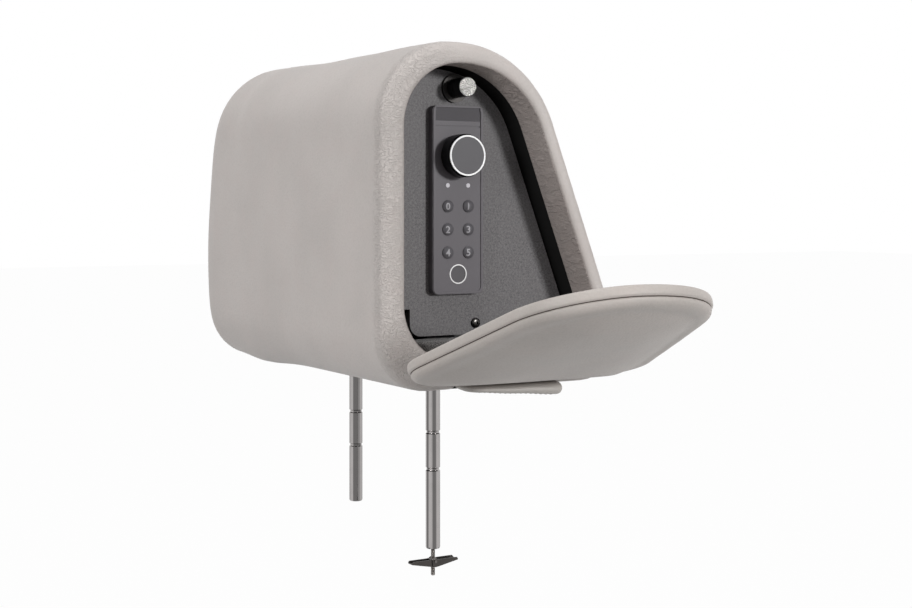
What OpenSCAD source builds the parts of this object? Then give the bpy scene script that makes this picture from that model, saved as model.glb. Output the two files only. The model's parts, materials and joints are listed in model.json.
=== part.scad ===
// Car headrest whose padded body is a small steel safe: leather D-shaped shell, keypad door, hinged end flap, two posts.
// Frame: origin midway between the posts at the underside of the base plate, X towards the flap, Z up. Units: mm.

/* [Body] */
// Length of the padded body from the mouth to the far end
body_len = 306; // [280:1:330]
// Depth of the body at its foot
body_depth = 174; // [160:1:190]
// Height of the padded body
body_height = 210.6; // [195:0.2:225]
// Lean of the sloped face from vertical
face_lean = 20.5; // [17:0.1:23]
// How much further the far end reaches at its foot than at its head
far_lean = 18; // [0:1:24]
// Radius of the far-end edges
far_round = 50; // [30:1:56]
// Outward crown of the padded faces
body_crown = 1.6; // [0:0.1:3]
// Thickness of the sewn leather
leather_t = 1.6; // [1:0.1:2]

/* [Mouth] */
// Width of the padded rim on the upright side
rim_side = 17; // [14:0.5:20]
// Width of the padded rim above the mouth
rim_top = 13.6; // [11:0.2:16]
// Width of the padded rim along the sloped face
rim_slope = 13.2; // [12:0.2:17]
// Lean of the sloped edge of the mouth
mouth_lean = 20.4; // [17:0.2:23]
// How far the leather lining runs into the mouth
lining_depth = 19; // [14:0.5:24]
// Depth from the rim to the face of the safe door
recess_depth = 36; // [30:0.5:42]
// Wall of the steel tube
steel_t = 3; // [2:0.1:4]
// Width of the stop frame behind the door
stop_w = 9; // [7:0.5:11]

/* [Door] */
// Thickness of the safe door
door_t = 5; // [4:0.5:6]
// Gap around the safe door
door_gap = 1; // [0.6:0.1:2]
// Height of the notch in the lower corner of the door
notch_h = 17.5; // [12:0.5:24]
// Width of the notch in the lower corner of the door
notch_w = 21; // [14:0.5:26]
// Radius of the hinge pin of the door
door_pin_r = 1.25; // [1:0.05:1.5]

/* [Lock] */
// Width of the keypad housing
lock_w = 37.2; // [34:0.2:40]
// Height of the keypad housing
lock_h = 120.6; // [114:0.2:126]
// How far the keypad housing stands out of the door
lock_t = 6; // [5:0.2:8]
// Diameter of the turning knob
knob_d = 27.5; // [24:0.5:30]
// Length of the turning knob
knob_len = 11; // [9:0.5:13]
// Diameter of a key
key_d = 7.8; // [7:0.1:8.4]
// How far a key stands out of the panel
key_stand = 2; // [1:0.1:2.4]
// Distance between key columns
key_dx = 15; // [13:0.5:17]
// Distance between key rows
key_dz = 14.8; // [13:0.2:16]
// How far a key goes down
key_travel = 1; // [0.6:0.1:1.2]
// Throw of the bolt for a quarter turn, in teeth of module one
pinion_teeth = 16; // [15:1:17]

/* [Catch] */
// Diameter of the magnetic catch
catch_d = 12.4; // [11:0.2:14]
// How far the catch stands out of the door
catch_len = 18; // [15:0.5:20]
// How far the plunger of the catch comes out
catch_travel = 18.5; // [14:0.5:19]

/* [Flap] */
// Thickness of the flap at its sewn edge
flap_edge = 6; // [5:0.5:8]
// Crown of the outer face of the flap
flap_crown = 12; // [5:0.5:14]
// Angle of the flap in the photographed pose, from closed
flap_open = 72.3; // [60:0.1:80]
// How far the flap laps over the sloping side of the body
flap_lap = 4.2; // [0:0.2:6]
// Width of the leather strap below the flap
strap_w = 68; // [60:1:90]

/* [Posts] */
// Diameter of the headrest posts
post_d = 10; // [9:0.5:12]
// Distance between the posts
post_gap = 120; // [110:1:140]
// Length of the hollow locking post below the body
lock_post_len = 125; // [110:1:140]
// Length of the plain post below the body
plain_post_len = 113; // [100:1:130]
// Depth of the notch rings on the posts
notch_depth = 0.6; // [0.3:0.1:1]
// Diameter of the threaded rod of the toggle
rod_d = 3; // [2.5:0.5:4]
// Length of one wing of the toggle from its pivot
wing_len = 17.5; // [14:0.5:20]

/* [Hidden] */
$fn = 64;

// Heights above the underside of the leather; everything is then lifted by the plate and pad.
plate_t = 3;
pad_t = 3;
lift = plate_t + pad_t;
eps = 0.3;

// Radius of the upright shoulder, kept short of the start of the other one.
function tl_r(left, top, dist, lean, r, most) = min(most, (dist - r - sin(lean) * (top - r)) / cos(lean) - left - 0.4);

// Outline of a D: left, top, distance of the leaning side, foot, lean, then radii top-left, top-right, foot-right, foot-left.
body_foot_r = 27;
body_d_c = body_depth / 2 - body_foot_r;
body_dist = cos(face_lean) * body_d_c + sin(face_lean) * body_foot_r + body_foot_r;
BODY = [-body_depth / 2, body_height, body_dist, 0, face_lean, tl_r(-body_depth / 2, body_height, body_dist, face_lean, 74, 51), 74, body_foot_r, 35];
m_left = -body_depth / 2 + rim_side;
m_top = body_height - rim_top;
m_dist = body_dist - rim_slope;
MOUTH = [m_left, m_top, m_dist, 13, mouth_lean, tl_r(m_left, m_top, m_dist, mouth_lean, 60, 42), 60, 22, 35];
flap_hinge_z = 8.2;
flap_foot = flap_hinge_z - 0.6;
flap_r = 90;
f_left = BODY[0] - flap_lap / 3;
f_top = BODY[1] + flap_lap / 3;
f_dist = BODY[2] + flap_lap;
FLAP = [f_left, f_top, f_dist, flap_foot, face_lean, tl_r(f_left, f_top, f_dist, face_lean, flap_r, 50), flap_r, 28, 32];

// Stations along X.
mouth_x = body_len / 2;
lining_x = mouth_x - lining_depth;
door_x = mouth_x - recess_depth;
door_back_x = door_x - door_t;
stop_x = door_back_x - eps;
stop_t = 4;
tube_back_x = -mouth_x + 35;
flap_hinge_x = mouth_x + 1.1;

// Steel tube walls as offsets from the mouth outline.
tube_in = 1;
tube_out = tube_in + steel_t;
floor_z = MOUTH[3] - tube_in;

// Door hinge.
door_pin_x = door_back_x + door_t / 2;
door_pin_z = 22;
knuckle_r = 2.4;
door_foot = 25.4;
bracket_len = 20;
leaf_gap = 0.4;
leaf_y0 = c_bl(MOUTH)[0] + bracket_len + leaf_gap;
leaf_y1 = c_br(MOUTH)[0] - bracket_len - leaf_gap;

// Catch and keypad, hung below the head of the mouth.
catch_y = -16;
catch_z = m_top - 13;
catch_x1 = door_x + catch_len;
catch_bore = 5;
shaft_r = catch_bore - 0.06;
flange_r = 9.2;
flange_t = 2;
magnet_t = 0.8;
catch_head = 8;

lock_y = catch_y;
lock_z1 = catch_z - flange_r - 2.2;
lock_z0 = lock_z1 - lock_h;
lock_face = door_x + lock_t;
border_w = 1.5;
border_t = 0.6;
panel_x = lock_face - border_t;
knob_z = lock_z1 - 32.2;
knob_x0 = lock_face + 1.2;
knob_x1 = knob_x0 + knob_len - 0.8;
spindle_r = 3;
key_z0 = knob_z - 32.2;
light_z = knob_z - 18.8;
finger_r = 6.3;
key_dome_r = 6;
finger_z = key_z0 - 2 * key_dz - finger_r - 7.5;
window_h = 8.6;
window_z0 = lock_z1 - window_h - 1.2;
bolt_hole_z = door_foot + 7.2;

// Rack and pinion behind the door.
pinion_r = pinion_teeth / 2;
pinion_x0 = door_back_x - 14;
pinion_t = 5;
add = 0.8;
ded = 1.1;
slack = 0.07;
rack_y = lock_y - pinion_r;
bolt_w = 8;
bolt_top = m_top - stop_w - 5;
bolt_foot = knob_z - 19.4;
guide_z0 = knob_z + 20.1;
guide_h = 8;
case_depth = 22;
case_x0 = door_back_x - case_depth;
case_wall = 1.5;
case_y0 = lock_y - 22;
case_y1 = lock_y + 16;
case_z0 = lock_z0 + 6;
case_z1 = lock_z1 + 3.4;
battery_t = 14;
battery_h = 47.5;

// Posts and toggle.
post_r = post_d / 2;
post_x = post_gap / 2;
post_top = 16;
fit = 0.05;
groove_z = [45.5, 70.7];
groove_w = 2.4;
flange_post_r = 12;
flange_post_t = 4;
rod_r = rod_d / 2;
rod_end = -lock_post_len - 18.4;
pivot_z = -lock_post_len - 8.4;
nut_w = 4.6;
nut_r = 2.6;
trunnion_r = 1;
sheet = 0.6;

// ---- outlines ----
function arc_pts(cy, cz, r, a0, a1, n) =
    [for (i = [0 : n]) [cy + r * cos(a0 + (a1 - a0) * i / n), cz + r * sin(a0 + (a1 - a0) * i / n)]];

function inner_pts(a, b, n, k) =
    let (d = b - a, q = norm(d), m = [-d[1] / q, d[0] / q])
    [for (i = [1 : 1 : n]) let (s = i / (n + 1)) a + d * s + m * k * 4 * s * (1 - s)];

function grown(P, t, low = 6) = [
    P[0] - t, P[1] + t, P[2] + t, P[3] - t, P[4],
    max(low, P[5] + t), max(low, P[6] + t), max(low, P[7] + t), max(low, P[8] + t)
];

function c_tl(P) = [P[0] + P[5], P[1] - P[5]];
function c_tr(P) = [(P[2] - P[6] - sin(P[4]) * (P[1] - P[6])) / cos(P[4]), P[1] - P[6]];
function c_br(P) = [(P[2] - P[7] - sin(P[4]) * (P[3] + P[7])) / cos(P[4]), P[3] + P[7]];
function c_bl(P) = [P[0] + P[8], P[3] + P[8]];

// Points once round a D, clockwise from the upright side, with crowned straight sides; n and m count arc and side steps.
function dee_pts(P, k = 0, n = [6, 6, 5, 4], m = [3, 2, 3]) =
    let (
        a = arc_pts(c_tl(P)[0], c_tl(P)[1], P[5], 180, 90, n[0]),
        b = arc_pts(c_tr(P)[0], c_tr(P)[1], P[6], 90, P[4], n[1]),
        c = arc_pts(c_br(P)[0], c_br(P)[1], P[7], P[4], -90, n[2]),
        d = arc_pts(c_bl(P)[0], c_bl(P)[1], P[8], -90, -180, n[3])
    )
    concat(
        a, b, inner_pts(b[len(b) - 1], c[0], m[0], k), c,
        inner_pts(c[len(c) - 1], d[0], m[1], 0), d, inner_pts(d[len(d) - 1], a[0], m[2], k)
    );

function ring3(x, pts) = [for (p = pts) [x, p[0], p[1]]];
function ring(x, P, t, k = 0) = ring3(x, dee_pts(grown(P, t), k));
function mixed(x, A, B, w) = let (a = dee_pts(A), b = dee_pts(B)) ring3(x, [for (i = [0 : len(a) - 1]) a[i] * (1 - w) + b[i] * w]);

// Sheet of rings closed by a fan at each end; the rings run from the inside of the cup to its outside.
function mean(r) = [for (j = [0 : 2]) [for (p = r) p[j]] * [for (p = r) 1] / len(r)];

module cup(rings, c0, c1) {
    n = len(rings[0]);
    m = len(rings);
    pts = concat([for (r = rings) for (p = r) p], [c0, c1]);
    strips = [
        for (j = [0 : m - 2]) for (i = [0 : n - 1])
            let (a = j * n + i, b = j * n + (i + 1) % n, c = a + n, d = b + n)
            each [[a, c, b], [b, c, d]]
    ];
    first = [for (i = [0 : n - 1]) [i, (i + 1) % n, n * m]];
    last = [for (i = [0 : n - 1]) [(m - 1) * n + (i + 1) % n, (m - 1) * n + i, n * m + 1]];
    polyhedron(points = pts, faces = concat(strips, first, last));
}

// Flat D outline with fine arcs.
module dee2d(P) polygon(dee_pts(P, 0, [16, 16, 10, 10], [0, 0, 0]));

// Extrudes a (Y, Z) outline along X.
module along_x(x0, x1) translate([x0, 0, 0]) rotate([90, 0, 90]) linear_extrude(x1 - x0) children();
// Extrudes an (X, Z) outline along Y.
module along_y(y0, y1) translate([0, y1, 0]) rotate([90, 0, 0]) linear_extrude(y1 - y0) children();
module rod_x(x0, x1, y, z, r) translate([x0, y, z]) rotate([0, 90, 0]) cylinder(r = r, h = x1 - x0);
module rod_y(y0, y1, x, z, r) translate([x, y1, z]) rotate([90, 0, 0]) cylinder(r = r, h = y1 - y0);
module block(a, b) translate(a) cube(b - a);
module up() translate([0, 0, lift]) children();

module round_rect(w, h, r) {
    square([w - 2 * r, h], center = true);
    square([w, h - 2 * r], center = true);
    for (i = [-1, 1]) for (j = [-1, 1]) translate([i * (w / 2 - r), j * (h / 2 - r)]) circle(r = r);
}

// ---- padded body ----
// Roll of the rim from the mouth outline to the body outline, as [set back from the rim, share].
ROLL = [[2.6, 0], [1.2, 0.06], [0.3, 0.22], [0, 0.42], [0, 0.6], [0.9, 0.8], [3.2, 0.94], [8, 1]];
BODY_X = [0.82, 0.5, 0.2, -0.12, -0.4, -0.6];
far_inset = 46;

// Ring with its far points drawn out towards the foot, from the middle of the body on.
function leaned(r) = [
    for (p = r) [p[0] - far_lean * pow(max(0, 1 - p[2] / body_height), 1.2) * min(1, max(0, 0.36 - p[0] / mouth_x)), p[1], p[2]]
];

function roll_rings(x, ti, to) = [for (q = ROLL) mixed(x - q[0], grown(MOUTH, ti), grown(BODY, to), q[1])];

function wall_rings(t, step) = [
    for (i = [0 : step : len(BODY_X) - 1])
        let (s = BODY_X[i]) leaned(ring(s * mouth_x, BODY, t, body_crown * max(0, 1 - s * s * 1.6)))
];

function far_rings(dx, t, step) = concat(
    [for (a = [0 : step : 89]) leaned(ring(-mouth_x + far_round - (far_round - dx) * sin(a), BODY, t - far_inset * (1 - cos(a))))],
    [leaned(ring(-mouth_x + dx, BODY, t - far_inset)), leaned(ring(-mouth_x - 1.5 + dx, BODY, t - far_inset - 14))]
);

// Outside of one layer; the leather skin shows its finer rings, the hidden layers run on fewer.
function shell_rings(dx, ti, to, shown = false) = concat(
    roll_rings(mouth_x - dx, ti, to), wall_rings(to, shown ? 1 : 3), far_rings(dx, to, shown ? 15 : 30)
);
function far_centre(dx, t) = mean(leaned(ring(-mouth_x - 2 + dx, BODY, t - far_inset - 14)));
function flipped(a) = [for (i = [len(a) - 1 : -1 : 0]) a[i]];

module post_holes(r) for (s = [-1, 1]) translate([s * post_x, 0, -1]) cylinder(r = r, h = 20);

module leather_cover() {
    inner = flipped(shell_rings(leather_t, leather_t, -leather_t));
    outer = shell_rings(0, 0, 0, true);
    color([0.7, 0.68, 0.66])
    up()
    difference() {
        cup(concat(inner, outer), far_centre(leather_t, -leather_t), far_centre(0, 0));
        post_holes(post_r + 0.4);
    }
}

module foam_core() {
    skin = leather_t + 0.7;
    hole = tube_out + 0.8;
    lined = leather_t + 1;
    inner = [
        ring(tube_back_x - steel_t - eps, MOUTH, hole),
        ring(lining_x + eps, MOUTH, hole),
        ring(lining_x + eps, MOUTH, lined)
    ];
    color([0.86, 0.84, 0.7])
    up()
    difference() {
        cup(concat(inner, shell_rings(skin, lined, -skin)), mean(inner[0]), far_centre(skin, -skin));
        post_holes(post_r + 0.4);
    }
}

module dee_tube(P, ti, to, x0, x1) along_x(x0, x1) difference() {
    dee2d(grown(P, to));
    dee2d(grown(P, ti));
}

module rim_lining() color([0.42, 0.4, 0.4]) up() dee_tube(MOUTH, 0.2, leather_t, lining_x + eps, mouth_x - ROLL[0][0] - leather_t - eps);

module steel_tube() {
    color([0.1, 0.1, 0.11])
    up()
    difference() {
        dee_tube(MOUTH, tube_in, tube_out, tube_back_x, lining_x);
        post_holes(post_r + fit);
    }
}

module back_plate() color([0.1, 0.1, 0.11]) up() along_x(tube_back_x - steel_t, tube_back_x) dee2d(grown(MOUTH, tube_out));

module door_frame() {
    color([0.12, 0.12, 0.13])
    up()
    difference() {
        dee_tube(MOUTH, -stop_w, tube_in, stop_x - stop_t, stop_x);
        block([stop_x - stop_t - 1, catch_y - 8, catch_z - 10], [stop_x + 1, catch_y + 9, body_height]);
    }
}

base_r = 10;
base_x0 = -mouth_x + 48.2;
base_x1 = mouth_x - 13;
base_y0 = -body_depth / 2 + 34;
base_y1 = body_depth / 2 - 32;

module base_sheet(t, inset) translate([(base_x0 + base_x1) / 2, (base_y0 + base_y1) / 2, 0]) linear_extrude(t)
    round_rect(base_x1 - base_x0 - 2 * inset, base_y1 - base_y0 - 2 * inset, base_r - inset);

module base_plate() {
    color([0.08, 0.08, 0.09])
    difference() {
        base_sheet(plate_t, 0);
        for (s = [-1, 1]) translate([s * post_x, 0, -1]) cylinder(r = post_r + fit, h = 20);
    }
}

module base_pad() {
    color([0.6, 0.58, 0.56])
    difference() {
        translate([0, 0, plate_t]) base_sheet(pad_t, 1);
        for (s = [-1, 1]) translate([s * post_x, 0, -1]) cylinder(r = post_r + fit, h = 20);
    }
}

// Felt step on the floor of the mouth, in front of the door.
module floor_mat() {
    color([0.2, 0.2, 0.2])
    up()
    along_x(door_x + 2.2, mouth_x - ROLL[0][0] - leather_t - eps) intersection() {
        dee2d(grown(MOUTH, -0.2));
        translate([-body_depth, 0]) square([2 * body_depth, door_pin_z - 1.2]);
    }
}

felt_t = 2.4;
module felt_liner() {
    color([0.25, 0.25, 0.26])
    up()
    difference() {
        along_x(tube_back_x + 1, case_x0 - 2) intersection() {
            dee2d(grown(MOUTH, tube_in - 0.1));
            translate([-body_depth, floor_z + 0.1]) square([2 * body_depth, felt_t]);
        }
        for (s = [-1, 1]) translate([s * post_x, 0, 0]) cylinder(r = flange_post_r + 0.5, h = 40);
    }
}

// Leather strap that carries the flap, folded below the mouth.
strap_y = 2;
module hinge_strap() {
    s0 = base_x1 + 0.5;
    color([0.6, 0.58, 0.56])
    up()
    intersection() {
        along_y(strap_y - strap_w / 2, strap_y + strap_w / 2) polygon([
            [s0, -0.3], [s0 + 6, -0.3], [s0 + 11, -0.9], [s0 + 17, -0.9], [s0 + 22, -1.4], [s0 + 27, -2],
            [s0 + 30, -4], [s0 + 29.6, -6], [s0 + 26, -7.4], [s0 + 14, -7.6], [s0, -5.8]
        ]);
        translate([s0 + 15, strap_y, -20]) linear_extrude(30) round_rect(30.2, strap_w, 9);
    }
}

// ---- posts ----
module post_shape(len, r) {
    rotate_extrude() polygon(concat(
        [[0, post_top], [r, post_top]],
        [for (g = groove_z) each [[r, -g + groove_w / 2], [r - notch_depth, -g + groove_w / 4], [r - notch_depth, -g - groove_w / 4], [r, -g - groove_w / 2]]],
        [[r, -len + 1.2], [r - 0.35, -len + 0.35], [r - 1.2, -len], [0, -len]]
    ));
}

module locking_post() {
    color([0.62, 0.6, 0.6])
    up()
    translate([post_x, 0, 0])
    difference() {
        post_shape(lock_post_len, post_r);
        translate([0, 0, -lock_post_len - 1]) cylinder(r = post_r - 1.4, h = lock_post_len + 5);
        cylinder(r = rod_r + fit, h = 40);
    }
}

module plain_post() color([0.62, 0.6, 0.6]) up() translate([-post_x, 0, 0]) post_shape(plain_post_len, post_r);

module post_flange(s) {
    color([0.3, 0.3, 0.3])
    up()
    translate([s * post_x, 0, floor_z])
    difference() {
        cylinder(r = flange_post_r, h = flange_post_t);
        translate([0, 0, -1]) cylinder(r = post_r + fit, h = 20);
    }
}
module locking_flange() post_flange(1);
module plain_flange() post_flange(-1);

module toggle_rod() {
    head_r = rod_d * 0.92;
    color([0.55, 0.52, 0.48])
    up()
    translate([post_x, 0, 0])
    difference() {
        union() {
            translate([0, 0, rod_end + 0.4]) cylinder(r = rod_r, h = post_top + 1 - rod_end);
            translate([0, 0, rod_end]) cylinder(r1 = rod_r - 0.4, r2 = rod_r, h = 0.4);
            translate([0, 0, post_top + 0.2]) cylinder(r = head_r, h = rod_d);
        }
        translate([0, 0, post_top + 1.2]) cylinder(r = rod_r * 0.85, h = 10, $fn = 6);
    }
}

module toggle_nut() {
    color([0.3, 0.28, 0.28])
    up()
    translate([post_x, 0, pivot_z])
    difference() {
        union() {
            rod_x(-nut_w / 2, nut_w / 2, 0, 0, nut_r);
            rod_x(-nut_w / 2 - 2 * sheet - 0.8, nut_w / 2 + 2 * sheet + 0.8, 0, 0, trunnion_r);
        }
        translate([0, 0, -5]) cylinder(r = rod_r + fit, h = 10);
    }
}

// One channel-section wing, pointing along +Y, for an inner width w.
module wing(w) {
    o = w / 2 + sheet;
    difference() {
        union() {
            for (s = [-1, 1]) along_x(s > 0 ? w / 2 : -o, s > 0 ? o : -w / 2) polygon([
                [-2.4, 1.2], [wing_len - 0.8, 1.2], [wing_len, 0.4], [wing_len, -0.6],
                [2.4, -3.6], [0, -3.9], [-2, -3]
            ]);
            along_x(-o, o) polygon([[2.6, -3.56], [wing_len, -0.6], [wing_len, 0.1], [2.6, -2.8]]);
        }
        rod_x(-10, 10, 0, 0, trunnion_r + fit);
    }
}
module wing_wide() color([0.2, 0.18, 0.18]) up() translate([post_x, 0, pivot_z]) wing(nut_w + 0.2 + 2 * sheet + 0.2);
module wing_narrow() color([0.2, 0.18, 0.18]) up() translate([post_x, 0, pivot_z]) rotate([0, 0, 180]) wing(nut_w + 0.2);

// ---- safe door ----
module hinge_bracket() {
    color([0.1, 0.1, 0.1])
    up()
    difference() {
        union() {
            for (y = [leaf_y0 - leaf_gap - bracket_len, leaf_y1 + leaf_gap]) {
                rod_y(y, y + bracket_len, door_pin_x, door_pin_z, knuckle_r);
                block([door_pin_x - 1.2, y, floor_z], [door_pin_x + 1.2, y + bracket_len, door_pin_z]);
            }
            block([stop_x + eps, leaf_y0 - leaf_gap - bracket_len, floor_z], [door_pin_x + 4, leaf_y1 + leaf_gap + bracket_len, floor_z + 2]);
        }
        rod_y(-body_depth, body_depth, door_pin_x, door_pin_z, door_pin_r + 0.02);
    }
}

module door_hinge_pin() {
    color([0.5, 0.5, 0.5])
    up()
    rod_y(leaf_y0 - bracket_len, leaf_y1 + bracket_len, door_pin_x, door_pin_z, door_pin_r);
}

module door_leaf() {
    color([0.1, 0.1, 0.1])
    up()
    difference() {
        union() {
            rod_y(leaf_y0, leaf_y1, door_pin_x, door_pin_z, knuckle_r);
            block([door_pin_x - 1.2, leaf_y0, door_pin_z], [door_pin_x + 1.2, leaf_y1, door_foot]);
        }
        rod_y(-body_depth, body_depth, door_pin_x, door_pin_z, door_pin_r + fit);
    }
}

// How far the safe door swings down, for the relief of its lower corners.
door_swing = 60;

// Mouth outline as the swung door meets it, drawn back onto the closed door.
function swung(P) = [for (p = dee_pts(P, 0, [16, 16, 10, 10], [0, 0, 0])) [p[0], door_pin_z + (p[1] - door_pin_z + door_t / 2 * sin(door_swing)) / cos(door_swing)]];

module door_outline() {
    r = 8;
    edge = MOUTH[0] + door_gap;
    difference() {
        intersection() {
            dee2d(grown(MOUTH, -door_gap));
            polygon(swung(grown(MOUTH, -door_gap)));
        }
        translate([-body_depth, -body_depth]) square([2 * body_depth, body_depth + door_foot]);
        translate([edge - 50, 0]) square([50 + notch_w, door_foot + notch_h]);
        difference() {
            translate([edge + notch_w - 1, door_foot - 1]) square([r + 1, r + 1]);
            translate([edge + notch_w + r, door_foot + r]) circle(r = r);
        }
    }
}

module safe_door() {
    color([0.2, 0.2, 0.21])
    up()
    difference() {
        along_x(door_back_x, door_x) door_outline();
        rod_x(door_back_x - 1, door_x + 1, lock_y, knob_z, spindle_r + 1);
        rod_x(door_back_x - 1, door_x + 1, catch_y, catch_z, catch_d / 2 + fit);
        rod_x(door_x - 4, door_x + 1, 0, bolt_hole_z, 2.05);
    }
}

module fascia_bolt() {
    color([0.12, 0.12, 0.12])
    up()
    difference() {
        union() {
            rod_x(door_x - 3.8, door_x, 0, bolt_hole_z, 2);
            translate([door_x, 0, bolt_hole_z]) rotate([0, 90, 0]) rotate_extrude() polygon([[0, 0], [3.4, 0], [3.3, 0.7], [2.9, 1.3], [2.2, 1.8], [1.2, 2], [0, 2]]);
        }
        rod_x(door_x + 0.9, door_x + 3, 0, bolt_hole_z, 1.3, $fn = 6);
    }
}

function key_yz(i) = [lock_y + (i % 2 == 0 ? -1 : 1) * key_dx / 2, key_z0 - floor(i / 2) * key_dz];

module lock_body() {
    cz = lock_z0 + lock_h / 2;
    color([0.27, 0.26, 0.28])
    up()
    difference() {
        union() {
            along_x(door_x, lock_face - 0.5) translate([lock_y, cz]) round_rect(lock_w, lock_h, 4);
            along_x(lock_face - 0.5, lock_face) translate([lock_y, cz]) round_rect(lock_w - 0.8, lock_h - 0.8, 3.6);
        }
        along_x(panel_x, lock_face + 1) translate([lock_y, cz]) round_rect(lock_w - 2 * border_w - 0.6, lock_h - 2 * border_w - 0.6, 2.6);
        block([panel_x - 1.2, lock_y - lock_w / 2 + border_w + 0.8, window_z0], [panel_x + 1, lock_y + lock_w / 2 - border_w - 0.8, window_z0 + window_h]);
        block([panel_x - 0.5, lock_y - lock_w / 2 + border_w + 0.8, window_z0 - 3.8], [panel_x + 1, lock_y + lock_w / 2 - border_w - 0.8, window_z0 - 3]);
        for (i = [0 : 5]) rod_x(door_x + 1.2, panel_x + 1, key_yz(i)[0], key_yz(i)[1], key_d / 2 + 0.08);
        for (s = [-1, 1]) rod_x(panel_x - 1.5, panel_x + 1, lock_y + s * key_dx / 2, light_z, 1.45);
        rod_x(panel_x - 2, panel_x + 1, lock_y, finger_z, finger_r + fit);
        rod_x(door_x - 1, lock_face + 1, lock_y, knob_z, 8 + fit);
    }
}

module display_window() {
    w = lock_w - 2 * border_w - 1.7;
    color([0.12, 0.12, 0.13])
    up()
    block([panel_x - 1.2, lock_y - w / 2, window_z0 + 0.05], [panel_x - 0.2, lock_y + w / 2, window_z0 + window_h - 0.05]);
}

module status_lights() {
    color([0.5, 0.5, 0.5])
    up()
    for (s = [-1, 1]) rod_x(panel_x - 1.5, panel_x + 0.15, lock_y + s * key_dx / 2, light_z, 1.4);
}

module fingerprint_ring() {
    color([0.8, 0.8, 0.8])
    up()
    difference() {
        rod_x(panel_x - 2, panel_x + 0.3, lock_y, finger_z, finger_r);
        rod_x(panel_x - 3, panel_x + 1, lock_y, finger_z, finger_r - 0.8);
    }
}

module fingerprint_pad() color([0.2, 0.2, 0.2]) up() rod_x(panel_x - 2, panel_x - 0.2, lock_y, finger_z, finger_r - 0.8 - fit);

module knob_bush() {
    color([0.1, 0.1, 0.1])
    up()
    difference() {
        union() {
            rod_x(door_x, lock_face, lock_y, knob_z, 8);
            rod_x(lock_face, knob_x0 - 0.2, lock_y, knob_z, 9);
        }
        rod_x(door_x - 1, knob_x0 + 1, lock_y, knob_z, spindle_r + fit);
    }
}

module lock_case() {
    color([0.14, 0.14, 0.14])
    up()
    difference() {
        block([case_x0, case_y0, case_z0], [door_back_x, case_y1, case_z1]);
        block([case_x0 + case_wall, case_y0 + case_wall, case_z0 + case_wall], [door_back_x + 1, case_y1 - case_wall, case_z1 - case_wall]);
        block([pinion_x0 - 0.4, rack_y - ded - bolt_w - 0.4, case_z1 - 4], [pinion_x0 + pinion_t + 0.4, rack_y + add + 0.4, case_z1 + 1]);
    }
}

module battery_pack() color([0.1, 0.1, 0.1]) up() block([case_x0 + case_wall + 0.5, case_y0 + 2.5, case_z0 + 2.5], [case_x0 + case_wall + 0.5 + battery_t, case_y1 - 2.5, case_z0 + 2.5 + battery_h]);

module bolt_guide() {
    g = 0.12;
    color([0.4, 0.4, 0.4])
    up()
    difference() {
        block([pinion_x0 - 3, case_y0 + case_wall + 0.1, guide_z0], [door_back_x, rack_y + add + 3, guide_z0 + guide_h]);
        block([pinion_x0 - g, rack_y - ded - bolt_w - g, guide_z0 - 1], [pinion_x0 + pinion_t + g, rack_y - ded + g, guide_z0 + guide_h + 1]);
    }
}

module catch_flange() {
    color([0.5, 0.5, 0.5])
    up()
    difference() {
        rod_x(door_x, door_x + flange_t, catch_y, catch_z, flange_r);
        rod_x(door_x - 1, door_x + 10, catch_y, catch_z, catch_d / 2 + fit);
    }
}

module catch_sleeve() {
    color([0.06, 0.06, 0.06])
    up()
    difference() {
        rod_x(pinion_x0, catch_x1 - magnet_t - catch_head - 0.2, catch_y, catch_z, catch_d / 2);
        rod_x(pinion_x0 + 1, catch_x1, catch_y, catch_z, catch_bore);
    }
}

module catch_plunger() {
    color([0.06, 0.06, 0.06])
    up() {
        rod_x(pinion_x0 + 1.4, catch_x1 - magnet_t - 2, catch_y, catch_z, shaft_r);
        rod_x(catch_x1 - magnet_t - catch_head, catch_x1 - magnet_t, catch_y, catch_z, catch_d / 2);
    }
}

module catch_magnet() color([0.8, 0.8, 0.8]) up() rod_x(catch_x1 - magnet_t, catch_x1, catch_y, catch_z, catch_d / 2 - 0.3);

// ---- knob, pinion and bolt ----
module lock_knob() {
    r = knob_d / 2;
    color([0.06, 0.06, 0.06])
    up()
    translate([knob_x0, lock_y, knob_z])
    rotate([0, 90, 0])
    difference() {
        rotate_extrude() polygon([[0, 0], [r - 0.8, 0], [r, 0.8], [r, knob_len - 2], [r - 0.8, knob_len - 0.8], [0, knob_len - 0.8]]);
        translate([0, 0, -1]) cylinder(r = spindle_r + 0.01, h = 7);
    }
}

module knob_ring() {
    color([0.9, 0.9, 0.9])
    up()
    difference() {
        rod_x(knob_x1, knob_x1 + 0.8, lock_y, knob_z, knob_d / 2 - 0.85);
        rod_x(knob_x1 - 1, knob_x1 + 2, lock_y, knob_z, knob_d / 2 - 1.85);
    }
}

module knob_badge() color([0.22, 0.22, 0.23]) up() rod_x(knob_x1, knob_x1 + 0.6, lock_y, knob_z, knob_d / 2 - 1.85 - fit);

module knob_spindle() color([0.5, 0.5, 0.5]) up() rod_x(case_x0 + 3, knob_x0 + 5.5, lock_y, knob_z, spindle_r);

function inv(a) = tan(a) * 180 / PI - a;

// Half tooth angle at radius q for pressure angle 20.
function half_tooth(q) =
    let (at = 90 / pinion_teeth - slack / pinion_r * 180 / PI / 2, rb = pinion_r * cos(20))
    at + inv(20) - (q > rb ? inv(acos(rb / q)) : 0);

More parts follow.
